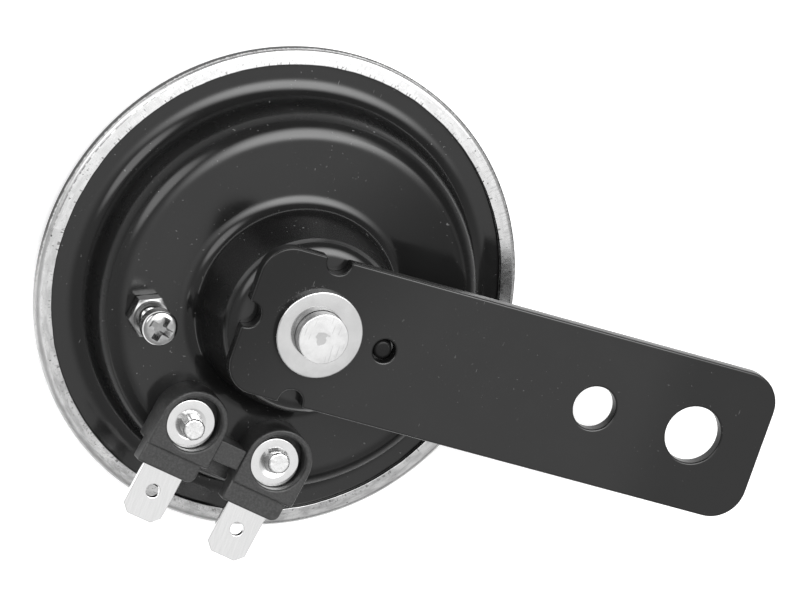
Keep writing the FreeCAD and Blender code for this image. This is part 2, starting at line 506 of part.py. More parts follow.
# Terminal block, turned so that its x axis points outward
b = new_body("terminal_block", turn="terminal_angle")
s = new_sketch(b, "bosses_outline", level="shelf_top")
for side in TERMINALS:
    circle(s, "boss_x", SIDE[side], "boss_r")
pad(b, "bosses", s, "block_top - shelf_top")
s = new_sketch(b, "ends_outline", level="shelf_top")
for side in TERMINALS:
    box(s, "boss_x", "boss_end", SIDE[side] + " - boss_r", SIDE[side] + " + boss_r")
pad(b, "ends", s, "block_top - shelf_top")
s = new_sketch(b, "bridge_outline", level="shelf_top")
box(s, "bridge_x", "bridge_end", "0 - bridge_half - over", "bridge_half + over")
pad(b, "bridge", s, "bridge_top - shelf_top")
s = new_sketch(b, "ledge_outline", level="shelf_top")
box(s, "bridge_x", "ledge_end", "0 - bridge_half - over", "bridge_half + over")
pad(b, "ledge", s, "ledge_top - shelf_top")
s = new_sketch(b, "lips_outline", level="lip_z")
for side in TERMINALS:
    box(s, "boss_end - over", "lip_end", SIDE[side] + " - boss_r", SIDE[side] + " + lip_short")
pad(b, "lips", s, "lip_top - lip_z")
fillet(b, "lip_round", "lip_round", lambda e: any(
    post(("lip_end", SIDE[side] + " + lip_short"))(e) for side in TERMINALS))
s = new_sketch(b, "sleeves_outline", level="shelf_in")
for side in TERMINALS:
    circle(s, "terminal_r", SIDE[side], "sleeve_r")
pad(b, "sleeves", s, "skin + over")
s = new_sketch(b, "recesses_outline", level="block_top")
for side in TERMINALS:
    circle(s, "boss_x", SIDE[side], "recess_r")
pocket(b, "recesses", s, "block_top - recess_z")
s = new_sketch(b, "slots_outline", level="slot_top")
for side in TERMINALS:
    box(s, "terminal_r", "lip_end + over", SIDE[side] + " - slot_half", SIDE[side] + " + slot_half")
pocket(b, "slots", s, "slot_top - recess_z")
s = new_sketch(b, "bores_outline", level="recess_z")
for side in TERMINALS:
    circle(s, "terminal_r", SIDE[side], "rivet_hole_r")
pocket(b, "bores", s, "recess_z - shelf_in + over")
turn(b, "neck_relief", [("neck_foot_r", "shelf_in + relief"), ("relief_r", "shelf_in + relief"),
                        ("relief_r", "shelf_top + relief"), ("neck_foot_r", "shelf_top + relief")], cut=True)

b = new_body("terminal_insulator", turn="terminal_angle")
s = new_sketch(b, "outline", level="insulator_z")
box(s, "insulator_x", "insulator_far", "0 - insulator_y", "insulator_y")
for side in TERMINALS:
    circle(s, "terminal_r", SIDE[side], "rivet_hole_r")
pad(b, "plate", s, "insulator_t")
turn(b, "edge", [("shelf_flat_r", "insulator_z - over"), ("rim_r", "insulator_z - over"),
                 ("rim_r", "shelf_in + over"), ("shelf_flat_r", "shelf_in + over")], cut=True)

for side in TERMINALS:
    here = (side + "_x", side + "_y")
    b = new_body("blade_" + side, at=here, turn="terminal_angle")
    s = new_sketch(b, "base_outline", level="recess_z")
    circle(s, "0", "0", "blade_base_r")
    pad(b, "base", s, "blade_t")
    s = new_sketch(b, "tab_outline", level="recess_z")
    outline(s, [("0", "0 - blade_half"), ("blade_cut_x", "0 - blade_half"), ("blade_tip", "0 - blade_cut_y"),
                ("blade_tip", "blade_cut_y"), ("blade_cut_x", "blade_half"), ("0", "blade_half")])
    pad(b, "tab", s, "blade_t")
    s = new_sketch(b, "holes_outline", level="blade_top")
    circle(s, "0", "0", "rivet_hole_r")
    circle(s, "blade_hole_x", "0", "blade_hole_r")
    pocket(b, "holes", s, "blade_t + over")
    washer("terminal_washer_" + side, "rivet_hole_r", "tab_washer_r", "blade_top", "tab_washer_top", at=here)
    turned("terminal_rivet_" + side, [
        ("0", "rivet_head_z"), ("rivet_head_r", "rivet_head_z"), ("rivet_head_r", "inner_z"),
        ("rivet_r", "inner_z"), ("rivet_r", "tab_washer_top"), ("rivet_end_r", "tab_washer_top"),
        ("rivet_end_r", "rivet_top"), ("0", "rivet_top")], at=here)
washer("inner_washer", "rivet_hole_r", "inner_r", "inner_z", "insulator_z", at=("right_x", "right_y"))

# Contact set
b = new_body("fixed_contact_arm", at=("left_x", "left_y"), turn="fixed_angle")
s = new_sketch(b, "side_outline", "XZ_Plane")
outline(s, [("0 - fixed_back", "inner_z"), ("fixed_jog", "inner_z"), ("fixed_jog_end", "fixed_z"),
            ("fixed_end", "fixed_z"), ("fixed_end", "fixed_top"),
            ("fixed_jog_end + play + play", "fixed_top"), ("fixed_jog + play + play", "insulator_z"),
            ("0 - fixed_back", "insulator_z")])
pad(b, "leaf", s, "fixed_half + fixed_half", both=True)
s = new_sketch(b, "hole_outline", level="insulator_z + over")
circle(s, "0", "0", "rivet_hole_r")
pocket(b, "hole", s, "inner_t + over + over")
washer("fixed_contact", "0", "point_r", "fixed_top", "point_z", at=("point_x", "point_y"))
washer("moving_contact", "0", "point_r", "point_z", "moving_z", at=("point_x", "point_y"))
here = ("stack_x", "stack_y")
b = new_body("moving_contact_arm", at=here, turn="moving_angle")
s = new_sketch(b, "outline", level="moving_z")
outline(s, [("0 - moving_back", "0 - moving_half"), ("moving_end", "0 - moving_half"),
            ("moving_end", "moving_half"), ("tongue_far", "moving_half"), ("tongue_far", "tongue_end"),
            ("tongue_near", "tongue_end"), ("tongue_near", "moving_half"),
            ("0 - moving_back", "moving_half")])
for x in ("stack_rivet_x", "0 - stack_rivet_x"):
    circle(s, x, "0", "stack_hole_r")
pad(b, "leaf", s, "moving_t")
for name, z0, thick in (("contact_insulator_upper", "moving_top", "cover_z - moving_top"),
                        ("contact_insulator_lower", "spacer_low_z", "spacer_low_t"),
                        ("contact_clamp", "clamp_z", "clamp_t")):
    b = new_body(name, at=here, turn="moving_angle")
    s = new_sketch(b, "outline", level=z0)
    box(s, "0 - stack_half_x", "stack_half_x", "0 - stack_half_y", "stack_half_y")
    for x in ("stack_rivet_x", "0 - stack_rivet_x"):
        circle(s, x, "0", "stack_hole_r")
    pad(b, "plate", s, thick)
for name, at in (("contact_rivet_near", ("stack_near_x", "stack_near_y")),
                 ("contact_rivet_far", ("stack_far_x", "stack_far_y"))):
    turned(name, [("0", "stack_head_z"), ("stack_head_r", "stack_head_z"), ("stack_head_r", "clamp_z"),
                  ("stack_rivet_r", "clamp_z"), ("stack_rivet_r", "shelf_in"), ("0", "shelf_in")], at=at)


def lead(name, x, y, end_x, end_y):
    """A bent wire from the winding down through the cover plate and across to its joint."""
    r, z, bend = num("lead_r"), num("lead_z"), num("lead_bend")
    top = V(num(x), num(y), num("winding_z"))
    corner, end = V(top.x, top.y, z), V(end_x, end_y, z)
    along = (end - corner).normalize()
    a, c = corner + V(0, 0, bend), corner + along * bend
    mid = corner + (V(0, 0, 1) + along) * bend * (1 - math.sqrt(0.5))
    path = Part.Wire([Part.LineSegment(top, a).toShape(), Part.Arc(a, mid, c).toShape(),
                      Part.LineSegment(c, end).toShape()])
    tip = Part.Wire([Part.Circle(top, V(0, 0, -1), r).toShape()])
    wire = doc.addObject("Part::Feature", name)
    wire.Label = name
    wire.Shape = path.makePipeShell([tip], True, False)
    return wire


angle = math.radians(num("moving_angle"))
along, across = V(math.cos(angle), math.sin(angle), 0), V(-math.sin(angle), math.cos(angle), 0)
tail = (V(num("stack_x"), num("stack_y"), 0) + along * num("joint_back - moving_back")
        + across * num("moving_half + lead_r"))
lead("coil_lead_b", "lead_b_x", "lead_b_y", tail.x, tail.y)
start = V(num("lead_a_x"), num("lead_a_y"), 0)
goal = V(num("right_x"), num("right_y"), 0)
reach = (goal - start).Length
goal = start + (goal - start) * ((reach - num("inner_r")) / reach)
lead("coil_lead_a", "lead_a_x", "lead_a_y", goal.x, goal.y)

doc.recompute()

os.makedirs("parts", exist_ok=True)
for item in doc.Objects:
    if item.TypeId not in ("PartDesign::Body", "Part::Feature"):
        continue
    bad = [f.Name for f in getattr(item, "Group", []) if "Invalid" in f.State or "Error" in f.State]
    if bad or "Invalid" in item.State or item.Shape.isNull() or not item.Shape.isValid():
        raise RuntimeError("bad shape: %s %s" % (item.Label, bad))
    if len(item.Shape.Solids) != 1:
        raise RuntimeError("%s has %d solids" % (item.Label, len(item.Shape.Solids)))
    item.Shape.exportStep("parts/%s.step" % item.Label)
    print(item.Label, round(item.Shape.Volume, 2))
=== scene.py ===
import math

import bmesh
import bpy
from mathutils import Matrix, Vector, noise


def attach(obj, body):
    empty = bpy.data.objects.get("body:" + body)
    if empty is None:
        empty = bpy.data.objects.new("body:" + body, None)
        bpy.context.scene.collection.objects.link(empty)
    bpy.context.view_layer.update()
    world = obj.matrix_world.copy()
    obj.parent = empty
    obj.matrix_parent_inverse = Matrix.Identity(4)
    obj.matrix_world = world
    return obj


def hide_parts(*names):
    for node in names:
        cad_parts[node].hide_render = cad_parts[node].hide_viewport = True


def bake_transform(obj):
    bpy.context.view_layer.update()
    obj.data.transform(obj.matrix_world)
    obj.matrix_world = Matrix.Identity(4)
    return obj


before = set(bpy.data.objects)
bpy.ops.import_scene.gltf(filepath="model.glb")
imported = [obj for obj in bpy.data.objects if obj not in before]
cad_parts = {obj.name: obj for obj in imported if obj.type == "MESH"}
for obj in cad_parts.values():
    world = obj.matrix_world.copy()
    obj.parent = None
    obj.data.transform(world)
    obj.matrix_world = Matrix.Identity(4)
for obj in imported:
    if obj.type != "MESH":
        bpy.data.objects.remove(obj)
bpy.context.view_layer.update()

# All sizes below are millimetres in the part's own frame. Finished meshes are brought to metres.
MM = 0.001
FULL_TURN = 2 * math.pi
RIM_STEPS, SHELL_STEPS = 360, 288
# sizes that several pieces or finishes share
FLANGE_TOP, SHELF_TOP, NECK_TOP, BRACKET_TOP = 2.7, 11.95, 22.65, 24.65
TAIL_R, PIP_X = 3.65, 10.4
TAIL_HOLE_R = TAIL_R + 0.05
SCREW_RING_R, SCREW_ANGLE = 21.605, math.radians(197.45)
SCREW_AT = (SCREW_RING_R * math.cos(SCREW_ANGLE), SCREW_RING_R * math.sin(SCREW_ANGLE))


# Outlines

def rounded(corners, closed=True, step=9.0, guard=0.0):
    """The points of an outline whose corners are (x, y, radius). An arc has a point for each step in degrees,
    and a guard adds one more point that far before the arc and after it."""
    points = []
    count = len(corners)
    for i, (x, y, radius) in enumerate(corners):
        here = Vector((x, y))
        if not closed and i in (0, count - 1):
            points.append(here)
            continue
        back = Vector(corners[i - 1][:2]) - here
        ahead = Vector(corners[(i + 1) % count][:2]) - here
        if radius <= 0:
            points.append(here)
            continue
        back.normalize()
        ahead.normalize()
        opening = back.angle(ahead)
        cut = radius / math.tan(opening / 2)
        centre = here + (back + ahead).normalized() * (radius / math.sin(opening / 2))
        start = here + back * cut - centre
        turn = math.pi - opening
        if back.x * ahead.y - back.y * ahead.x > 0:
            turn = -turn
        pieces = max(2, math.ceil(abs(math.degrees(turn)) / step))
        if guard:
            points.append(here + back * (cut + guard))
        for k in range(pieces + 1):
            a = turn * k / pieces
            points.append(centre + Vector((start.x * math.cos(a) - start.y * math.sin(a),
                                           start.x * math.sin(a) + start.y * math.cos(a))))
        if guard:
            points.append(here + ahead * (cut + guard))
    return points


def arc(x, y, radius, start, sweep, steps):
    """Points along a part of a circle, both ends included."""
    angles = [start + sweep * k / steps for k in range(steps + 1)]
    return [Vector((x + radius * math.cos(a), y + radius * math.sin(a))) for a in angles]


def round_hole(x, y, radius, steps):
    return arc(x, y, radius, 0.0, FULL_TURN, steps)[:-1]


# Making meshes

def spin_profile(bm, points, steps, closed=True):
    """Turns a profile of (radius, height) points once round the z axis."""
    verts = [bm.verts.new((p[0], 0, p[1])) for p in points]
    edges = [bm.edges.new((verts[i], verts[i + 1])) for i in range(len(verts) - 1)]
    if closed:
        edges.append(bm.edges.new((verts[-1], verts[0])))
    bmesh.ops.spin(bm, geom=verts + edges, cent=(0, 0, 0), axis=(0, 0, 1), dvec=(0, 0, 0),
                   angle=FULL_TURN, steps=steps, use_merge=True, use_duplicate=False)
    bmesh.ops.remove_doubles(bm, verts=bm.verts, dist=1e-4)
    for face in bm.faces:
        face.smooth = True


def loop_of(bm, points, z):
    verts = [bm.verts.new((p[0], p[1], z)) for p in points]
    return [bm.edges.new((verts[i - 1], verts[i])) for i in range(len(verts))]


def only(kind, geometry):
    return [g for g in geometry if isinstance(g, kind)]


def plate(bm, outline, holes, z_low, z_high, edge_high=0.2, edge_low=0.1, parts=4):
    """A flat plate with holes. Its upper and lower edges are rounded by small insets."""
    edges = loop_of(bm, outline, z_low)
    for hole in holes:
        edges += loop_of(bm, hole, z_low)
    filled = bmesh.ops.triangle_fill(bm, use_beauty=True, use_dissolve=False, edges=edges)
    base = only(bmesh.types.BMFace, filled["geom"])
    bmesh.ops.recalc_face_normals(bm, faces=base)
    if base[0].normal.z < 0:
        bmesh.ops.reverse_faces(bm, faces=base)
    lifted = bmesh.ops.extrude_face_region(bm, geom=base, use_keep_orig=True)["geom"]
    roof, high_verts = only(bmesh.types.BMFace, lifted), only(bmesh.types.BMVert, lifted)
    walls = {face for vert in high_verts for face in vert.link_faces} - set(roof)
    bmesh.ops.translate(bm, verts=high_verts, vec=(0, 0, z_high - z_low))
    bmesh.ops.reverse_faces(bm, faces=base)
    for face in walls:
        face.smooth = True
    for caps, radius, up in ((roof, edge_high, 1), (base, edge_low, -1)):
        if radius <= 0:
            continue
        verts = list({v for f in caps for v in f.verts})
        bmesh.ops.translate(bm, verts=verts, vec=(0, 0, -up * radius))
        for k in range(parts):
            a, b = math.pi / 2 * k / parts, math.pi / 2 * (k + 1) / parts
            inward = radius * (math.cos(a) - math.cos(b))
            upward = radius * (math.sin(b) - math.sin(a))
            rounding = bmesh.ops.inset_region(bm, faces=caps, thickness=inward, depth=upward,
                                              use_boundary=True, use_even_offset=True)
            for face in rounding["faces"]:
                face.smooth = True


def finish(bm, name, material, slot, body, *nodes, sharp=32.0, flats=False):
    """Brings a mesh of millimetres to metres, gives it its finish, and puts it on its body in place of the
    CAD nodes. Edges sharper than that many degrees stay sharp. With flats, level faces are shaded flat."""
    bmesh.ops.remove_doubles(bm, verts=bm.verts, dist=1e-4)
    bmesh.ops.recalc_face_normals(bm, faces=bm.faces)
    bmesh.ops.scale(bm, vec=(MM, MM, MM), verts=bm.verts)
    mesh = bpy.data.meshes.new(name)
    bm.to_mesh(mesh)
    bm.free()
    mesh.set_sharp_from_angle(angle=math.radians(sharp))
    if flats:
        # level faces stay plain, so that the roundings beside them don't bend their shading
        for face in mesh.polygons:
            if abs(face.normal.z) > 0.9999:
                face.use_smooth = False
    piece = bpy.data.objects.new(name, mesh)
    bpy.context.scene.collection.objects.link(piece)
    mesh.materials.append(material)
    if body:
        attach(piece, body)
    if nodes:
        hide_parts(*nodes)
    return piece


def spun(name, profile, material, slot, body, *nodes, steps, at=(0, 0), closed=True, guard=0.0):
    bm = bmesh.new()
    spin_profile(bm, rounded(profile, closed=closed, guard=guard), steps, closed)
    bmesh.ops.translate(bm, verts=bm.verts, vec=(at[0], at[1], 0))
    finish(bm, name, material, slot, body, *nodes)


def turn_and_place(bm, degrees, at=(0, 0)):
    turn = Matrix.Rotation(math.radians(degrees), 3, "Z")
    bmesh.ops.rotate(bm, verts=bm.verts, cent=(0, 0, 0), matrix=turn)
    bmesh.ops.translate(bm, verts=bm.verts, vec=(at[0], at[1], 0))


def join_into(bm, other):
    """Adds the faces of another bmesh to bm."""
    mesh = bpy.data.meshes.new("joined")
    other.to_mesh(mesh)
    other.free()
    bm.from_mesh(mesh)
    bpy.data.meshes.remove(mesh)


# Finishes

class Nodes:
    """A node tree, and the few nodes that the finishes and the studio's light share."""

    def __init__(self, tree):
        self.nodes, self.links = tree.nodes, tree.links

    def join(self, source, target):
        self.links.new(source, target)

    def math(self, kind, first, second=0.0):
        node = self.nodes.new("ShaderNodeMath")
        node.operation = kind
        for socket, value in zip(node.inputs, (first, second)):
            if isinstance(value, (int, float)):
                socket.default_value = value
            else:
                self.join(value, socket)
        return node.outputs[0]

    def plus(self, first, second):
        return self.math("ADD", first, second)

    def less(self, first, second):
        return self.math("SUBTRACT", first, second)

    def times(self, first, second):
        return self.math("MULTIPLY", first, second)

    def most(self, first, second):
        return self.math("MAXIMUM", first, second)

    def length(self, x, y):
        return self.math("SQRT", self.plus(self.times(x, x), self.times(y, y)))

    def between(self, value, low, high, out_low=0.0, out_high=1.0):
        """A smooth step from out_low, at the value low, to out_high, at the value high."""
        node = self.nodes.new("ShaderNodeMapRange")
        node.interpolation_type = "SMOOTHSTEP"
        self.join(value, node.inputs["Value"])
        limits = {"From Min": low, "From Max": high, "To Min": out_low, "To Max": out_high}
        for socket, number in limits.items():
            node.inputs[socket].default_value = number
        return node.outputs["Result"]

    def between_mm(self, value, low, high, out_low=0.0, out_high=1.0):
        """The same step with its two limits in millimetres, for a value in metres."""
        return self.between(value, low * MM, high * MM, out_low, out_high)

    def band(self, value, middle, half, soft):
        """One inside a band of the value, in millimetres, and none outside it."""
        off = self.math("ABSOLUTE", self.less(value, middle * MM))
        return self.between_mm(off, half, half + soft, 1.0, 0.0)


class Finish(Nodes):
    """A material under construction, with coordinates, grain and relief for its shader."""

    def __init__(self, name, **values):
        self.material = bpy.data.materials.new(name)
        self.material.use_nodes = True
        super().__init__(self.material.node_tree)
        self.shader = self.nodes["Principled BSDF"]
        self.coords = self.nodes.new("ShaderNodeTexCoord").outputs["Object"]
        for socket, value in values.items():
            self.shader.inputs[socket.replace("_", " ")].default_value = value
        self.bumps = None

    def moved(self, stretch=(1, 1, 1), turn=(0, 0, 0), at=(0, 0, 0)):
        node = self.nodes.new("ShaderNodeMapping")
        self.join(self.coords, node.inputs["Vector"])
        node.inputs["Scale"].default_value = stretch
        node.inputs["Rotation"].default_value = turn
        node.inputs["Location"].default_value = at
        return node.outputs[0]

    def grain(self, size, detail=3.0, roughness=0.55, coords=None):
        """Noise whose features are about size millimetres across."""
        node = self.nodes.new("ShaderNodeTexNoise")
        self.join(coords or self.coords, node.inputs["Vector"])
        node.inputs["Scale"].default_value = 1 / (size * MM)
        node.inputs["Detail"].default_value = detail
        node.inputs["Roughness"].default_value = roughness
        return node.outputs["Fac"]

    def place(self, at=(0, 0)):
        """The distance from an upright axis, the height, and the coordinates x and y, all in metres."""
        split = self.nodes.new("ShaderNodeSeparateXYZ")
        self.join(self.moved(at=(-at[0] * MM, -at[1] * MM, 0)), split.inputs[0])
        x, y, z = split.outputs
        return self.length(x, y), z, x, y

    def round_the_axis(self, along, radial, height, at=(0, 0)):
        """Coordinates that run round an upright axis, for grain that follows a turned surface. The three
        numbers say how much of the angle, of the distance from the axis and of the height they count."""
        radius, z, x, y = self.place(at)
        made = self.nodes.new("ShaderNodeCombineXYZ")
        self.join(self.times(self.math("ARCTAN2", y, x), along), made.inputs[0])
        self.join(self.times(radius, radial), made.inputs[1])
        self.join(self.times(z, height), made.inputs[2])
        return made.outputs[0]

    def mixed(self, share, first, second):
        node = self.nodes.new("ShaderNodeMix")
        node.data_type = "RGBA"
        self.join(share, node.inputs["Factor"])
        colour_sockets = [socket for socket in node.inputs if socket.type == "RGBA"]
        for socket, colour in zip(colour_sockets, (first, second)):
            if isinstance(colour, tuple):
                socket.default_value = (*colour, 1)
            else:
                self.join(colour, socket)
        return [socket for socket in node.outputs if socket.type == "RGBA"][0]

    def colour(self, source):
        self.join(source, self.shader.inputs["Base Color"])

    def roughness(self, source):
        self.join(source, self.shader.inputs["Roughness"])

    def relief(self, height, microns):
        """Adds a bump that is that many thousandths of a millimetre high."""
        node = self.nodes.new("ShaderNodeBump")
        node.inputs["Strength"].default_value = 1.0
        node.inputs["Distance"].default_value = microns * 1e-6
        self.join(height, node.inputs["Height"])
        if self.bumps:
            self.join(self.bumps, node.inputs["Normal"])
        self.bumps = node.outputs["Normal"]
        self.join(self.bumps, self.shader.inputs["Normal"])


def grey(level):
    return (level, level, level)


def gloss_paint():
    """Glossy black paint with dust and lint on it. Height and radius are the part's own."""
    f = Finish("gloss_black_paint")
    radius, height, x, y = f.place()
    on_bracket = f.between_mm(height, 22.8, 23.0)
    patches = f.between(f.grain(9.0, detail=2.0), 0.42, 0.62)
    patches = f.times(patches, f.less(1.0, f.times(on_bracket, 0.6)))
    dust = f.times(f.between(f.grain(0.42, detail=0.5), 0.765, 0.80), patches)
    hairs = f.moved(stretch=(3.2, 0.35, 1), turn=(0, 0, 0.6))
    lint = f.between(f.grain(1.0, detail=1.0, coords=hairs), 0.80, 0.83)
    # small bright nibs beside the washer, where the tool that upset the tail touched the paint
    nibs = f.times(f.band(radius, 6.75, 0.2, 0.35), f.between(f.grain(0.26, detail=1.0), 0.60, 0.68))
    nibs = f.times(nibs, f.between_mm(f.less(y, x), 7.2, 9.0, 0.0, 0.6))
    marks = f.most(f.most(dust, lint), f.times(nibs, on_bracket))
    f.colour(f.mixed(marks, grey(0.009), grey(0.12)))
    # rougher and duller on the walls, on the shoulder beyond the neck and on the bracket's sides
    neck_wall = f.times(f.band(height, 17.9, 3.6, 0.6), f.between_mm(f.less(y, x), 14.2, 16.5, 1.0, 0.1))
    walls = f.most(f.band(height, 7.2, 3.25, 0.35), neck_wall)
    across = f.less(x, f.times(y, 0.55))
    shoulder = f.times(f.band(height, 11.0, 0.6, 0.15), f.between_mm(across, -20, -2))
    walls = f.most(f.most(walls, shoulder), f.band(height, 23.6, 0.85, 0.1))
    f.roughness(f.plus(f.between(f.grain(5.0, detail=4.0), 0.3, 0.75, 0.12, 0.2), f.times(walls, 0.12)))
    # less gloss on the shelf towards +x and +y and at both ends of the bracket's face
    shelf = f.times(f.band(height, SHELF_TOP, 0.08, 0.12), f.between_mm(across, -16, 11, 0.0, 0.32))
    shelf = f.times(shelf, f.between_mm(y, -4, 6))
    near_end = f.between_mm(f.less(x, f.times(y, 0.6)), -14, 14, 0.24, 0.0)
    far_end = f.between_mm(x, 48, 58, 0.0, 0.12)
    ends = f.times(f.plus(near_end, far_end), f.between_mm(height, 24.58, 24.64))
    dull = f.plus(f.plus(ends, shelf), f.plus(f.times(walls, 0.34), f.times(shoulder, 0.11)))
    f.join(f.less(0.5, dull), f.shader.inputs["Specular IOR Level"])
    f.relief(f.grain(6.0, detail=1.0), 14.0)
    f.relief(f.grain(0.35, detail=2.0), 0.7)
    return f.material


def bright_plating():
    """The rim's plating, marked by its rolling, with painted reflection and painted shade in its colour.
    Height and radius are the part's own.
    """
    f = Finish("bright_plating", Metallic=1.0)
    radius, height, x, y = f.place()
    patches = f.grain(1.0, detail=3.0, coords=f.round_the_axis(along=0.012, radial=1.1, height=1.1))
    streaks = f.grain(1.0, detail=2.0, coords=f.round_the_axis(along=0.012, radial=3.0, height=3.0))
    ticks = f.grain(1.0, detail=2.0, coords=f.round_the_axis(along=0.11, radial=0.4, height=0.4))
    combs = f.grain(1.0, detail=2.0, coords=f.round_the_axis(along=0.09, radial=1.3, height=1.3))
    dashes = f.grain(1.0, detail=1.0, coords=f.round_the_axis(along=0.035, radial=0.02, height=0.02))
    # painted reflection: brighter towards +y. Mottled, with marks of the rolling tool, and a greyer outer
    # strip of painted shade towards the widest line
    side = f.between_mm(y, -36, 24)
    deep, light = f.mixed(side, grey(0.42), grey(0.65)), f.mixed(side, grey(0.61), grey(0.73))
    tone = f.mixed(f.between(patches, 0.36, 0.66), deep, light)
    tone = f.mixed(f.between(streaks, 0.60, 0.72), tone, light)
    tone = f.mixed(f.between(combs, 0.60, 0.70, 0.0, 0.5), tone, grey(0.5))
    # painted shade: greyer towards the widest line
    tone = f.mixed(f.between_mm(radius, 34.95, 35.2, 0.0, 0.45), tone, grey(0.46))
    # short marks along the lip's inner edge
    nicks = f.times(f.times(f.band(radius, 33.4, 0.25, 0.25), f.between(ticks, 0.58, 0.68)), 0.7)
    # a broken line where the lip was folded
    fold = f.times(f.band(radius, 35.0, 0.05, 0.06), f.between(dashes, 0.44, 0.52))
    fold = f.times(fold, f.between_mm(height, 3.0, 3.1, 0.0, 0.7))
    fold = f.times(fold, f.between_mm(f.less(y, x), 26, 44))
    # painted shade round the widest line: a dark band, higher up on one side and fading out towards -x and -y
    rise = f.between_mm(f.less(x, f.times(y, 0.55)), -24, 20, 0.0, 0.35 * MM)
    rise = f.times(rise, f.between_mm(y, -20, 0))
    minus_xy_corner = f.times(f.between_mm(y, -16, 2, 1.0, 0.0), f.between_mm(x, -8, 12, 1.0, 0.0))
    painted_shade = f.less(f.plus(height, f.times(ticks, 0.5 * MM)), rise)
    painted_shade = f.times(f.between_mm(painted_shade, 2.92, 3.22, 1.0, 0.0), f.less(1.0, minus_xy_corner))
    # towards -y the lip's edge is dull, with pits beside it
    pits = f.times(f.between(f.grain(0.4, detail=2.0), 0.58, 0.66, 0.0, 0.6),
                   f.between_mm(radius, 33.5, 34.6, 1.0, 0.0))
    pits = f.most(pits, f.between_mm(radius, 33.3, 33.5, 0.75, 0.0))
    pits = f.times(pits, f.between_mm(y, -26, -12, 1.0, 0.0))
    specks = f.most(f.between(f.grain(0.45, detail=1.5), 0.71, 0.75), pits)
    marks = f.most(f.most(nicks, fold), f.most(painted_shade, specks))
    f.colour(f.mixed(marks, tone, grey(0.1)))
    # the painted shade is not metal, so it stays a flat dark grey
    f.join(f.less(1.0, painted_shade), f.shader.inputs["Metallic"])
    f.shader.inputs["Specular IOR Level"].default_value = 0.0
    outside = f.between_mm(radius, 34.95, 35.3, 0.0, 0.12)
    outside = f.plus(outside, f.times(minus_xy_corner, f.between_mm(radius, 34.4, 35.2, 0.0, 0.26)))
    f.roughness(f.plus(f.between(ticks, 0.3, 0.7, 0.17, 0.23), outside))
    f.relief(ticks, 1.5)
    f.relief(f.grain(1.6, detail=2.0), 4.0)
    return f.material


def bright_zinc():
    f = Finish("bright_zinc", Metallic=1.0)
    f.colour(f.mixed(f.between(f.grain(2.2, detail=3.0), 0.35, 0.7), grey(0.62), grey(0.67)))
    f.roughness(f.between(f.grain(0.9, detail=3.0), 0.3, 0.7, 0.1, 0.16))
    f.relief(f.grain(0.3, detail=2.0), 0.5)
    return f.material


def screw_zinc():
    """Bright zinc with painted shade in the screw's cross."""
    f = Finish("screw_zinc", Metallic=1.0)
    radius, height, _, _ = f.place(SCREW_AT)
    # painted shade: darker down inside the cross
    inside = f.times(f.between_mm(height, 19.2, 19.6, 1.0, 0.0), f.between_mm(radius, 1.95, 2.05, 1.0, 0.0))
    inside = f.times(inside, f.between_mm(height, 17.4, 17.5, 0.0, 0.4))
    tone = f.mixed(f.between(f.grain(1.3, detail=3.0), 0.35, 0.7), grey(0.42), grey(0.58))
    f.colour(f.mixed(inside, tone, grey(0.12)))
    f.roughness(f.between(f.grain(0.9, detail=3.0), 0.3, 0.7, 0.1, 0.16))
    f.relief(f.grain(0.3, detail=2.0), 1.2)
    return f.material


def turned_steel():
    """Grey steel with fine rings that its turning tool left round the screw's axis."""
    f = Finish("turned_steel", Metallic=1.0)
    round_screw = f.round_the_axis(along=0.0004, radial=3.2, height=0.2, at=SCREW_AT)
    rings = f.grain(1.0, detail=2.0, coords=round_screw)
    f.colour(f.mixed(f.between(rings, 0.3, 0.7), grey(0.36), grey(0.52)))
    f.roughness(f.between(rings, 0.3, 0.7, 0.2, 0.27))
    f.relief(rings, 2.0)
    return f.material


def tinned_strip():
    f = Finish("tinned_strip", Metallic=1.0)
    along = f.moved(stretch=(1, 0.08, 1), turn=(0, 0, math.radians(99.3)))
    lines = f.grain(0.25, detail=2.0, coords=along)
    f.colour(f.mixed(f.between(lines, 0.3, 0.7), grey(0.77), grey(0.81)))
    f.roughness(f.between(f.grain(1.5, detail=3.0), 0.3, 0.7, 0.1, 0.11))
    f.relief(lines, 0.2)
    return f.material


def moulded_plastic():
    f = Finish("moulded_plastic")
    f.colour(f.mixed(f.between(f.grain(0.28, detail=3.0), 0.35, 0.72), grey(0.018), grey(0.04)))
    f.roughness(f.between(f.grain(2.0, detail=3.0), 0.3, 0.7, 0.36, 0.5))
    f.relief(f.grain(0.22, detail=4.0, roughness=0.65), 9.0)
    return f.material


def dished_washer(side):
    """Bright strip with a painted shadow in the dish round its rivet."""
    f = Finish("dished_washer_" + side, Metallic=1.0)
    at = rivet_place(side)
    # painted shadow: darker near the rivet, from a centre a little towards -x and +y of it
    radius = f.place((at[0] - 0.6, at[1] + 0.2))[0]
    ragged = f.plus(radius, f.times(f.grain(0.8, detail=2.0), 0.5 * MM))
    painted_shade = f.between_mm(ragged, 1.3, 2.2, 0.6, 0.0)
    bright = f.mixed(f.between(f.grain(2.2, detail=3.0), 0.35, 0.7), grey(0.75), grey(0.79))
    f.colour(f.mixed(painted_shade, bright, grey(0.14)))
    f.roughness(f.plus(f.times(painted_shade, 0.25), 0.11))
    f.relief(f.grain(0.3, detail=2.0), 0.4)
    return f.material


def upset_rivet():
    """A bright rough end on a dark shank."""
    f = Finish("upset_rivet", Metallic=1.0)
    height = f.place()[1]
    end = f.between_mm(f.plus(height, f.times(f.grain(0.6, detail=2.0), 0.3 * MM)), 16.2, 16.6)
    pits = f.between(f.grain(0.5, detail=2.0), 0.60, 0.70, 0.0, 0.5)
    f.colour(f.mixed(end, grey(0.5), f.mixed(pits, grey(0.76), grey(0.42))))
    f.roughness(f.between(f.grain(0.5, detail=3.0), 0.3, 0.7, 0.22, 0.34))
    f.relief(f.grain(0.5, detail=3.0), 9.0)
    return f.material


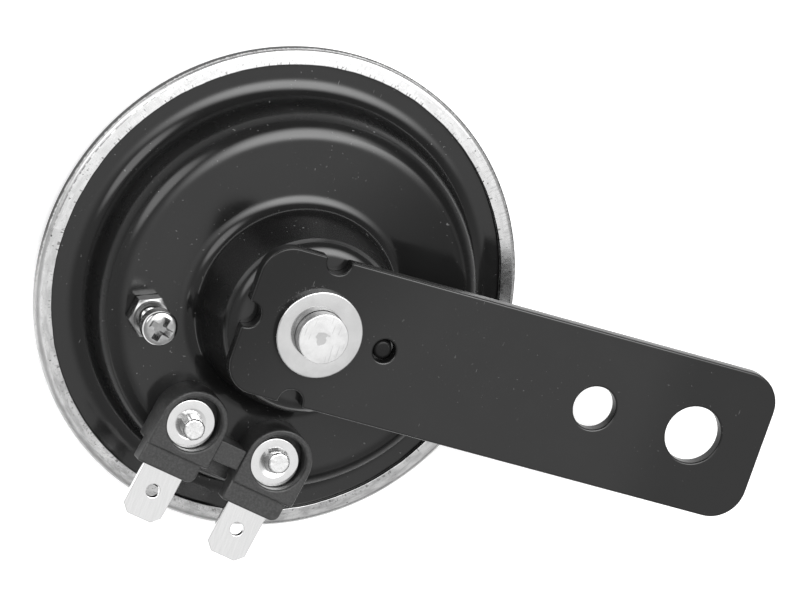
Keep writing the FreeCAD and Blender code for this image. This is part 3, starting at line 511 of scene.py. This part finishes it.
def riveted_tail():
    """Bright steel with scratches across it and a dull irregular dent in the middle."""
    f = Finish("riveted_tail", Metallic=1.0)
    radius, height, _, y = f.place((-0.3, 0.0))
    ragged = f.plus(radius, f.times(f.grain(1.1, detail=3.0), 1.9 * MM))
    dent = f.between_mm(ragged, 1.75, 1.95, 0.7, 0.0)
    scratches = []
    for turn, edge in ((0.5, 0.66), (2.0, 0.69)):
        across = f.moved(stretch=(3.6, 0.3, 1), turn=(0, 0, turn))
        scratches.append(f.between(f.grain(0.9, detail=2.0, coords=across), edge, edge + 0.04, 0.0, 0.5))
    marks = f.most(dent, f.most(*scratches))
    tone = f.mixed(f.between(f.grain(1.8, detail=4.0), 0.3, 0.7), grey(0.76), grey(0.88))
    end = f.between_mm(height, 27.5, 27.6)
    rings = f.grain(1.0, detail=2.0, coords=f.round_the_axis(along=0.001, radial=0.2, height=2.6))
    # painted shade: the tail's side is darker towards +y
    shank = f.mixed(f.between_mm(y, 0, 3), grey(0.5), grey(0.17))
    shank = f.mixed(f.between(rings, 0.35, 0.65, 0.0, 0.5), shank, grey(0.1))
    f.colour(f.mixed(end, shank, f.mixed(marks, tone, grey(0.5))))
    f.roughness(f.less(f.between(f.grain(0.5, detail=3.0), 0.3, 0.7, 0.45, 0.5), f.times(end, 0.34)))
    f.relief(f.grain(0.5, detail=3.0), 1.2)
    return f.material


def plain_metal(name, low, high, rough, tint=(1, 1, 1)):
    f = Finish(name, Metallic=1.0)
    dark, light = tuple(low * t for t in tint), tuple(high * t for t in tint)
    f.colour(f.mixed(f.between(f.grain(1.8, detail=4.0), 0.3, 0.7), dark, light))
    f.roughness(f.between(f.grain(0.5, detail=3.0), 0.3, 0.7, rough - 0.06, rough + 0.06))
    f.relief(f.grain(0.3, detail=3.0), 2.0)
    return f.material


def spring_steel():
    f = Finish("spring_steel", Metallic=1.0)
    rings = f.grain(1.0, detail=3.0, coords=f.round_the_axis(along=0.02, radial=3.0, height=0.5))
    f.colour(f.mixed(f.between(rings, 0.3, 0.7), grey(0.42), grey(0.5)))
    f.roughness(f.between(f.grain(3.0, detail=3.0), 0.3, 0.7, 0.26, 0.36))
    f.relief(rings, 2.0)
    return f.material


def dull_board(name, dark, light, size, rough):
    f = Finish(name, Roughness=rough)
    f.colour(f.mixed(f.between(f.grain(size, detail=4.0), 0.3, 0.7), dark, light))
    f.relief(f.grain(size * 0.5, detail=3.0), 8.0)
    return f.material


def wound_wire():
    f = Finish("enamelled_wire", Metallic=1.0, Roughness=0.3)
    turns = f.nodes.new("ShaderNodeTexWave")
    turns.wave_type, turns.bands_direction = "BANDS", "Z"
    f.join(f.coords, turns.inputs["Vector"])
    # one stripe for each 0.45 mm of wire
    turns.inputs["Scale"].default_value = 1 / (0.45 * MM * 3.2)
    f.colour(f.mixed(turns.outputs["Fac"], (0.22, 0.08, 0.03), (0.65, 0.28, 0.13)))
    f.relief(turns.outputs["Fac"], 60.0)
    return f.material


PAINT = gloss_paint()
PLATING = bright_plating()
ZINC = bright_zinc()
SCREW_ZINC = screw_zinc()
NUT_STEEL = turned_steel()
TIN = tinned_strip()
PLASTIC = moulded_plastic()
SPRING = spring_steel()
STEEL = plain_metal("bare_steel", 0.44, 0.56, 0.36)
RIVET = upset_rivet()
TAIL = riveted_tail()
BRASS = plain_metal("brass_strip", 0.9, 1.0, 0.3, (0.72, 0.55, 0.25))
CONTACT = plain_metal("contact_alloy", 0.7, 0.8, 0.3)
BOBBIN = dull_board("natural_plastic", (0.62, 0.6, 0.54), (0.74, 0.72, 0.66), 0.8, 0.4)
FIBRE = dull_board("fibre_board", (0.34, 0.14, 0.07), (0.48, 0.22, 0.11), 0.3, 0.7)
RUBBER = dull_board("gasket_rubber", grey(0.025), grey(0.05), 0.4, 0.75)
COPPER = wound_wire()

# Pressed shell and rim

SKIN = 1.0
WALL_LEAN, NECK_LEAN = math.tan(math.radians(5)), math.tan(math.radians(12))
WALL_SKIN, NECK_SKIN = SKIN / math.cos(math.radians(5)), SKIN / math.cos(math.radians(12))
SHOULDER_R, NECK_EDGE_R = 27.66, 12.54
# where the leaning walls would meet the flange and the shelf
FOOT_R = SHOULDER_R + (SHELF_TOP - FLANGE_TOP) * WALL_LEAN
NECK_FOOT_R = NECK_EDGE_R + (NECK_TOP - SHELF_TOP) * NECK_LEAN


def rolled_rim():
    """The rim, whose lip is slightly wavy."""
    lip_r, reach, depth = 33.2, 1.2, 0.07
    bm = bmesh.new()
    corners = [(32.0, 0, 0.3), (35.66, 0, 2.3), (35.66, 3.24, 0.8), (lip_r, 3.4, 0.2), (lip_r, 2.71, 0.1),
               (34.9, 2.71, 0), (34.9, 0.75, 1.55), (32.0, 0.75, 0.2)]
    spin_profile(bm, rounded(corners, step=7.5, guard=0.06), RIM_STEPS)
    for v in bm.verts:
        radius = math.hypot(v.co.x, v.co.y)
        share = max(0.0, 1 - abs(radius - lip_r) / reach) if v.co.z > 2 else 0.0
        wave = noise.noise(Vector((v.co.x * 0.35, v.co.y * 0.35, 4.0)))
        wave += 0.5 * noise.noise(Vector((v.co.x * 1.3, v.co.y * 1.3, 9.0)))
        grow = 1 + depth * share * wave / radius
        v.co.x *= grow
        v.co.y *= grow
    finish(bm, "rolled_rim", PLATING, "bright_rim", "shell", "rim_ring")


def pressed_shell():
    """One skin, followed from the flange up its upper side to the neck and back along its under side."""
    bm = bmesh.new()
    flange, shelf, neck = FLANGE_TOP - SKIN, SHELF_TOP - SKIN, NECK_TOP - SKIN
    corners = [
        (34.8, flange, 0), (34.8, FLANGE_TOP, 0.2), (FOOT_R, FLANGE_TOP, 3.1), (SHOULDER_R, SHELF_TOP, 3.6),
        (NECK_FOOT_R, SHELF_TOP, 2.5), (NECK_EDGE_R, NECK_TOP, 2.4), (TAIL_HOLE_R, NECK_TOP, 0),
        (TAIL_HOLE_R, neck, 0), (NECK_EDGE_R + SKIN * NECK_LEAN - NECK_SKIN, neck, 1.4),
        (NECK_EDGE_R + (NECK_TOP - SHELF_TOP + SKIN) * NECK_LEAN - NECK_SKIN, shelf, 3.5),
        (SHOULDER_R + SKIN * WALL_LEAN - WALL_SKIN, shelf, 2.6),
        (SHOULDER_R + (SHELF_TOP - flange) * WALL_LEAN - WALL_SKIN, flange, 4.1)]
    spin_profile(bm, rounded(corners, step=5.0, guard=0.15), SHELL_STEPS)
    # the pip that keeps the bracket from turning
    pip = bmesh.new()
    profile = rounded([(0, 22.2, 0), (1.45, 22.2, 0), (1.45, 23.9, 0.6), (0, 23.9, 0)], closed=False)
    spin_profile(pip, profile, 48, closed=False)
    bmesh.ops.translate(pip, verts=pip.verts, vec=(PIP_X, 0, 0))
    join_into(bm, pip)
    finish(bm, "pressed_shell", PAINT, "black_paint", "shell", "housing")


# Bracket and its riveted joint

def bracket():
    """The strip, with a notch in both long edges and in its near end."""
    edge, near, far = 11.07, -11.1, 69.95
    middle, half, depth, mouth_r, notch_r = -0.4, 1.85, 2.2, 0.35, 1.8
    left, right, bottom = middle - half, middle + half, edge - depth
    corners = [
        (near, -edge, 4.5), (left, -edge, mouth_r), (left, -bottom, notch_r), (right, -bottom, notch_r),
        (right, -edge, mouth_r), (far, -edge, 5.0), (far, edge, 5.0), (right, edge, mouth_r),
        (right, bottom, notch_r), (left, bottom, notch_r), (left, edge, mouth_r), (near, edge, 4.5),
        (near, half, mouth_r), (near + depth, half, notch_r), (near + depth, -half, notch_r),
        (near, -half, mouth_r)]
    # the holes for the tail and the pip, and the small and the large mounting hole
    holes = [round_hole(0, 0, TAIL_HOLE_R, 48), round_hole(PIP_X, 0, 1.7, 40),
             round_hole(43.6, 0, 3.2, 80), round_hole(59.3, 0, 4.2, 96)]
    outline = rounded(corners, step=6.0)
    bm = bmesh.new()
    plate(bm, outline, holes, NECK_TOP, BRACKET_TOP, edge_high=0.28, edge_low=0.12, parts=6)
    finish(bm, "mounting_bracket", PAINT, "black_paint", "shell", "bracket", flats=True)


def riveted_joint():
    """The washer on the bracket and the core, whose tail is upset over it."""
    low, top, tail_top = BRACKET_TOP, BRACKET_TOP + 1.0, 27.65
    washer = [(TAIL_HOLE_R, low, 0), (6.35, low, 0), (6.35, top, 0.18), (TAIL_HOLE_R, top, 0.04)]
    spun("joint_washer", washer, ZINC, "zinc", "shell", "bracket_washer", steps=128)
    core_low, core_r, core_top = 13.3, 5.0, NECK_TOP - SKIN
    core = [(0, core_low, 0), (core_r, core_low, 0.3), (core_r, core_top, 0), (TAIL_R, core_top, 0),
            (TAIL_R, tail_top, 0.12), (1.1, tail_top, 0.3), (0.7, 27.64, 0.3), (0, 27.64, 0)]
    spun("core_tail", core, TAIL, "bare_steel", "shell", "fixed_core", steps=96, closed=False)


# Adjusting screw and lock nut

def hexagon_loop(half, parts):
    """A hexagon that is twice half across its flats, with so many points on each side."""
    corner = half / math.cos(math.pi / 6)
    points = []
    for k in range(6):
        a, b = math.pi / 3 * k, math.pi / 3 * (k + 1)
        first = Vector((corner * math.cos(a), corner * math.sin(a)))
        last = Vector((corner * math.cos(b), corner * math.sin(b)))
        points += [first.lerp(last, i / parts) for i in range(parts)]
    return points


def hexagon_nut(bm, half, bore, z_low, z_high, chamfer_r, parts=10):
    """A nut whose corners are turned off in a cone at both ends, with a countersunk bore."""
    hexagon = hexagon_loop(half, parts)
    slope, sunk = math.tan(math.radians(30)), 0.3
    steps = len(hexagon)
    bearing = [p.normalized() * chamfer_r for p in hexagon]
    sink = [p.normalized() * (bore + sunk) for p in hexagon]
    inner = [p.normalized() * bore for p in hexagon]
    drop = [max(0.02, (p.length - chamfer_r) * slope) for p in hexagon]
    loops = []
    for points, heights in (
            (inner, [z_high - sunk] * steps), (sink, [z_high] * steps), (bearing, [z_high] * steps),
            (hexagon, [z_high - d for d in drop]), (hexagon, [z_low + d for d in drop]),
            (bearing, [z_low] * steps), (sink, [z_low] * steps), (inner, [z_low + sunk] * steps)):
        verts = [bm.verts.new((p.x, p.y, z)) for p, z in zip(points, heights)]
        loops.append([bm.edges.new((verts[i - 1], verts[i])) for i in range(steps)])
    for one, other in zip(loops, loops[1:] + loops[:1]):
        bmesh.ops.bridge_loops(bm, edges=one + other)
    for face in bm.faces:
        face.smooth = True


def lock_nut():
    bm = bmesh.new()
    hexagon_nut(bm, 2.75, 1.56, SHELF_TOP, SHELF_TOP + 2.4, 2.58)
    turn_and_place(bm, 20.06, SCREW_AT)
    finish(bm, "lock_nut_shown", NUT_STEEL, "zinc", "shell", "lock_nut", sharp=20.0)


def adjusting_screw():
    head_low, head_top, head_r = 17.3, 19.7, 2.6
    bm = bmesh.new()
    # the thread: one pitch of its ridge, wound up the shank
    pitch, root, crest, per_turn = 0.5, 1.2, 1.5, 36
    turns = math.ceil((head_low - 8.6) / pitch)
    low = head_low - turns * pitch + 0.05
    ridge = [(root, 0), (root + 0.02, 0.06), (crest, 0.22), (crest, 0.28), (root + 0.02, 0.44),
             (root, pitch)]
    verts = [bm.verts.new((r, 0, low - pitch + z)) for r, z in ridge]
    edges = [bm.edges.new((verts[i], verts[i + 1])) for i in range(len(verts) - 1)]
    bmesh.ops.spin(bm, geom=verts + edges, cent=(0, 0, 0), axis=(0, 0, 1), dvec=(0, 0, pitch / per_turn),
                   angle=FULL_TURN * turns, steps=per_turn * turns, use_merge=False, use_duplicate=False)
    bmesh.ops.remove_doubles(bm, verts=bm.verts, dist=1e-3)
    for face in bm.faces:
        face.smooth = True
    # the core of the shank and its tip
    tip, core_r, core_top = 8.55, root + 0.005, head_low + 0.2
    profile = rounded([(0, tip, 0), (1.0, tip, 0.15), (core_r, 9.1, 0.1), (core_r, core_top, 0),
                       (0, core_top, 0)], closed=False)
    shank = bmesh.new()
    spin_profile(shank, profile, per_turn, closed=False)
    join_into(bm, shank)
    # the head: a turned side, and a top with a cross that narrows as it goes down
    side = rounded([(0, head_low, 0), (head_r - 0.12, head_low, 0.1), (head_r, head_low + 0.3, 0.3),
                    (head_r, head_top - 0.25, 0.6), (1.9, head_top, 0)], closed=False, step=10)
    head = bmesh.new()
    spin_profile(head, side, 72, closed=False)
    rim = [e for e in head.edges if e.is_boundary]
    long, half, end_r, inner_r, depth, taper = 1.8, 0.56, 0.12, 0.3, 1.1, 0.62
    quarter = [(half, half, inner_r), (long, half, end_r), (long, -half, end_r)]
    corners = []
    for _ in range(4):
        corners += quarter
        quarter = [(y, -x, radius) for x, y, radius in quarter]
    cross_edges = loop_of(head, rounded(corners, step=30), head_top)
    bmesh.ops.triangle_fill(head, use_beauty=True, edges=rim + cross_edges)
    down = bmesh.ops.extrude_edge_only(head, edges=cross_edges)["geom"]
    low_verts = only(bmesh.types.BMVert, down)
    bmesh.ops.scale(head, vec=(taper, taper, 1), verts=low_verts)
    bmesh.ops.translate(head, verts=low_verts, vec=(0, 0, -depth))
    low_edges = [e for e in only(bmesh.types.BMEdge, down) if e.is_boundary]
    bmesh.ops.triangle_fill(head, use_beauty=True, edges=low_edges)
    join_into(bm, head)
    turn_and_place(bm, 76.0, SCREW_AT)
    finish(bm, "cross_head_screw", SCREW_ZINC, "zinc", "screw", "adjusting_screw", sharp=30.0)


# Terminals

# The terminals are drawn along x and then turned by this angle. The rivets stand at this distance outwards
# and at the places in SIDES across it.
TERMINAL_ANGLE, TERMINAL_R, TERMINAL_HALF, TERMINAL_SHIFT = -99.3, 21.005, 7.0716, 0.4
SIDES = {"left": TERMINAL_SHIFT - TERMINAL_HALF, "right": TERMINAL_SHIFT + TERMINAL_HALF}
BOSS_X, BOSS_END, RECESS_FLOOR = 20.575, 25.805, 13.8
BLADE_TOP = RECESS_FLOOR + 0.8
WASHER_TOP = BLADE_TOP + 0.6


def rivet_place(side):
    a, across = math.radians(TERMINAL_ANGLE), SIDES[side]
    return (TERMINAL_R * math.cos(a) - across * math.sin(a),
            TERMINAL_R * math.sin(a) + across * math.cos(a))


def boss(bm, y):
    """One boss: round towards the neck, square towards the rim, with a deep round recess."""
    top, half, recess = 16.75, 5.0, 4.05
    outline = arc(BOSS_X, y, half, math.pi / 2, math.pi, 28)
    outline += rounded([(BOSS_X, y - half, 0), (BOSS_END, y - half, 0.45), (BOSS_END, y + half, 0.45),
                        (BOSS_X, y + half, 0)], closed=False)[1:-1]
    plate(bm, outline, [round_hole(BOSS_X, y, recess, 72)], SHELF_TOP, top, edge_high=0.3, edge_low=0.0)
    # the floor of the recess, with the hole for the rivet
    round_floor, rivet_hole = round_hole(BOSS_X, y, recess + 0.2, 72), round_hole(TERMINAL_R, y, 1.3, 24)
    plate(bm, round_floor, [rivet_hole], SHELF_TOP + 0.1, RECESS_FLOOR, edge_high=0.0, edge_low=0.0)


def lip(bm, y):
    """The bar over a blade's root, with one rounded corner, and the two posts beside the blade."""
    low, high, post = y - 5.0, y + 4.15, 3.2
    near, far = BOSS_END - 0.6, 28.705
    bar_low, bar_high, post_low, post_high = 14.65, 16.35, 14.1, 14.75
    bar = [(near, low, 0), (far, low, 0.3), (far, high, 1.2), (near, high, 0)]
    low_post = [(near, low, 0), (far, low, 0.3), (far, y - post, 0), (near, y - post, 0)]
    high_post = [(near, y + post, 0), (far - 0.2, y + post, 0), (far - 0.5, y + 3.6, 0.2),
                 (BOSS_END + 1.9, high, 0.6), (near, high, 0)]
    plate(bm, rounded(bar), [], bar_low, bar_high, edge_high=0.25, edge_low=0.0)
    for outline in (low_post, high_post):
        plate(bm, rounded(outline), [], post_low, post_high, edge_high=0.0, edge_low=0.0)


def terminal_block():
    bm = bmesh.new()
    for y in SIDES.values():
        boss(bm, y)
        lip(bm, y)
    # the two steps of the bridge between the bosses
    low, high = -2.0, 2.9
    for near, far, top in ((21.075, 24.175, 16.25), (23.6, 26.575, 13.2)):
        outline = rounded([(near, low, 0), (far, low, 0), (far, high, 0), (near, high, 0)])
        plate(bm, outline, [], SHELF_TOP, top, edge_high=0.15, edge_low=0.0)
    turn_and_place(bm, TERMINAL_ANGLE)
    finish(bm, "terminal_block_shown", PLASTIC, "black_plastic", "shell", "terminal_block", flats=True)


def blade(side):
    """A blade with bevelled corners at its tip and a round base about its rivet."""
    half, tip, cut, base_r = 3.15, 15.5, 1.2, 3.6
    start = math.asin(half / base_r)
    outline = arc(0, 0, base_r, start, FULL_TURN - 2 * start, 40)
    outline += rounded([(0, -half, 0), (tip - cut, -half, 0.15), (tip, cut - half, 0.15),
                        (tip, half - cut, 0.15), (tip - cut, half, 0.15), (0, half, 0)], closed=False)[1:-1]
    holes = [round_hole(0, 0, 1.25, 32), round_hole(11.1, 0, 1.0, 40)]
    bm = bmesh.new()
    plate(bm, outline, holes, RECESS_FLOOR, BLADE_TOP, edge_high=0.1, edge_low=0.1)
    turn_and_place(bm, TERMINAL_ANGLE, rivet_place(side))
    finish(bm, "blade_shown_" + side, TIN, "tin", "shell", "blade_" + side, flats=True)


def pressed_washer(side):
    low, top = BLADE_TOP, WASHER_TOP
    profile = [(1.25, low, 0), (3.6, low, 0.05), (3.6, top, 0.12), (2.3, top, 0.6), (1.6, top - 0.14, 0.3),
               (1.25, top - 0.15, 0)]
    spun("pressed_washer_" + side, profile, dished_washer(side), "zinc", "shell", "terminal_washer_" + side,
         steps=96, at=rivet_place(side))


def terminal_rivet(side):
    """A rivet whose upper end was knocked over: uneven round its side, leaning and rough on top."""
    shank, seat, uneven, bumps, lean_height = 1.2, WASHER_TOP - 0.34, 0.07, 0.02, 0.8
    profile = rounded([(0, 8.65, 0), (2.3, 8.65, 0.3), (2.3, 9.45, 0), (shank, 9.45, 0), (shank, seat, 0),
                       (1.6, seat, 0), (1.6, 16.6, 0.35), (0, 16.52, 0)], closed=False)
    bm = bmesh.new()
    spin_profile(bm, profile, 88, closed=False)
    seed, lean = (3.0, (0.34, -0.4)) if side == "left" else (11.0, (0.2, 0.35))
    for v in bm.verts:
        if v.co.z < WASHER_TOP - 0.3:
            continue
        radius, angle = math.hypot(v.co.x, v.co.y), math.atan2(v.co.y, v.co.x)
        rough = noise.noise(Vector((6 * math.cos(angle), 6 * math.sin(angle), seed)))
        grow = 1 + uneven * rough * min(1.0, radius / 1.4)
        share = min(1.0, max(0.0, (v.co.z - WASHER_TOP + 0.1) / lean_height))
        v.co.x = v.co.x * grow + lean[0] * share
        v.co.y = v.co.y * grow + lean[1] * share
        if v.co.z > 16.3:
            v.co.z += bumps * noise.noise(Vector((v.co.x * 2.1, v.co.y * 2.1, seed + 5)))
    turn_and_place(bm, 0, rivet_place(side))
    finish(bm, "upset_rivet_" + side, RIVET, "tin", "shell", "terminal_rivet_" + side, sharp=60.0)


# Diaphragm and tone disc, at the front

def diaphragm():
    profile = rounded([
        (2.5, 5.2, 0), (8.5, 5.2, 3.0), (26.0, 4.1, 2.0), (29.4, 1.0, 1.2), (34.2, 1.0, 0), (34.2, 1.4, 0),
        (29.55, 1.4, 0.9), (26.15, 4.5, 2.3), (8.5, 5.6, 3.0), (2.5, 5.6, 0)], step=6.0)
    bm = bmesh.new()
    spin_profile(bm, profile, 192)
    piece = finish(bm, "formed_diaphragm", SPRING, "spring_steel", None)
    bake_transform(piece)
    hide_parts("diaphragm")


def tone_disc():
    """The dished disc and the nut that holds it."""
    profile = [
        (2.5, 3.6, 0), (8.0, 3.6, 1.5), (13.0, 2.75, 1.5), (22.0, 1.2, 2.0), (26.0, 1.2, 0.3),
        (26.0, 2.2, 0.3), (22.0, 2.2, 1.2), (13.0, 3.75, 1.5), (8.0, 4.6, 1.5), (2.5, 4.6, 0)]
    spun("pressed_tone_disc", profile, ZINC, "zinc", "striker", "tone_disc", steps=192, guard=0.1)
    bm = bmesh.new()
    hexagon_nut(bm, 4.0, 2.5, 1.2, 3.2, 3.75)
    finish(bm, "front_nut", ZINC, "zinc", "striker", "tone_disc_nut", sharp=20.0)


rolled_rim()
pressed_shell()
bracket()
riveted_joint()
lock_nut()
adjusting_screw()
terminal_block()
for side in SIDES:
    blade(side)
    pressed_washer(side)
    terminal_rivet(side)
diaphragm()
tone_disc()

# the inner pieces keep their CAD shapes and only get a finish
KEPT = {
    STEEL: ("cover_plate", "contact_clamp", "armature"),
    SPRING: ("spring_washer",),
    ZINC: ("diaphragm_spacer",),
    RUBBER: ("front_gasket", "rear_gasket"),
    BOBBIN: ("coil_bobbin",),
    COPPER: ("coil_winding", "coil_lead_a", "coil_lead_b"),
    FIBRE: ("contact_insulator_upper", "contact_insulator_lower", "screw_pad", "terminal_insulator",
            "armature_pusher"),
    BRASS: ("contact_rivet_near", "contact_rivet_far", "moving_contact_arm", "fixed_contact_arm",
            "inner_washer"),
    CONTACT: ("moving_contact", "fixed_contact"),
}
for material, names in KEPT.items():
    for name in names:
        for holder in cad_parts[name].material_slots:
            holder.material = material


# Floor, light and camera

def floor():
    bm = bmesh.new()
    bmesh.ops.create_grid(bm, x_segments=1, y_segments=1, size=3.0)
    # a little below the rim, so that the two don't share a plane
    bmesh.ops.translate(bm, verts=bm.verts, vec=(0, 0, -0.0001))
    mesh = bpy.data.meshes.new("floor")
    bm.to_mesh(mesh)
    bm.free()
    piece = bpy.data.objects.new("floor", mesh)
    bpy.context.scene.collection.objects.link(piece)
    f = Finish("pale_floor", Base_Color=(0.86, 0.86, 0.86, 1), Roughness=0.9)
    f.shader.inputs["Emission Color"].default_value = (1, 1, 1, 1)
    f.shader.inputs["Emission Strength"].default_value = 0.5
    mesh.materials.append(f.material)


class Dome(Nodes):
    """The studio's light as brightness by direction. A direction is given as degrees from straight up, split
    into its x and y parts."""

    def __init__(self, world):
        world.use_nodes = True
        super().__init__(world.node_tree)
        split = self.nodes.new("ShaderNodeSeparateXYZ")
        self.join(self.nodes.new("ShaderNodeTexCoord").outputs["Generated"], split.inputs[0])
        x, y, z = split.outputs
        level = self.length(x, y)
        tilt = self.times(self.math("ARCTAN2", level, z), 180 / math.pi)
        share = self.math("DIVIDE", tilt, self.most(level, 1e-5))
        self.x, self.y = self.times(x, share), self.times(y, share)

    def soft_box(self, at, half, full, none, brightness):
        """A soft oval light: bright up to full times its half size, faded away at none times that size."""
        parts = []
        for value, middle, size in zip((self.x, self.y), at, half):
            parts.append(self.times(self.less(value, middle), 1 / size))
        return self.between(self.length(*parts), full, none, brightness, 0.0)


def studio():
    scene = bpy.context.scene
    world = bpy.data.worlds.new("studio")
    dome = Dome(world)
    lights = [
        dome.soft_box((11, 26), (29, 27), 0.3, 1.25, 6.6),
        dome.soft_box((-46, 20), (19, 23), 0.6, 1.15, 3.0),
        dome.soft_box((12, 0), (45, 45), 0.2, 1.0, 0.55),
        dome.between(dome.y, -10, 45, 0.33, 0.0)]
    total = 0.15
    for light in lights:
        total = dome.plus(light, total)
    background = dome.nodes["Background"]
    dome.join(total, background.inputs["Strength"])
    background.inputs["Color"].default_value = (1, 1, 1, 1)
    scene.world = world
    scene.view_settings.view_transform = "Standard"
    scene.view_settings.look = "None"


def camera():
    target, distance = Vector((18.49, 3.05, 2.75)) * MM, 1.6412
    back = Vector((-0.3545, 0.1959, 0.9143)).normalized()
    upwards = Vector((-0.343, 0.939, 0))
    right = upwards.cross(back).normalized()
    up = back.cross(right)
    data = bpy.data.cameras.new("camera")
    data.sensor_width = 36
    data.lens = 515.3  # a long lens, so that the view is nearly parallel
    data.clip_start, data.clip_end = 0.05, 20
    holder = bpy.data.objects.new("camera", data)
    bpy.context.scene.collection.objects.link(holder)
    place = Matrix((right, up, back)).transposed().to_4x4()
    place.translation = target + back * distance
    holder.matrix_world = place
    bpy.context.scene.camera = holder


floor()
studio()
camera()
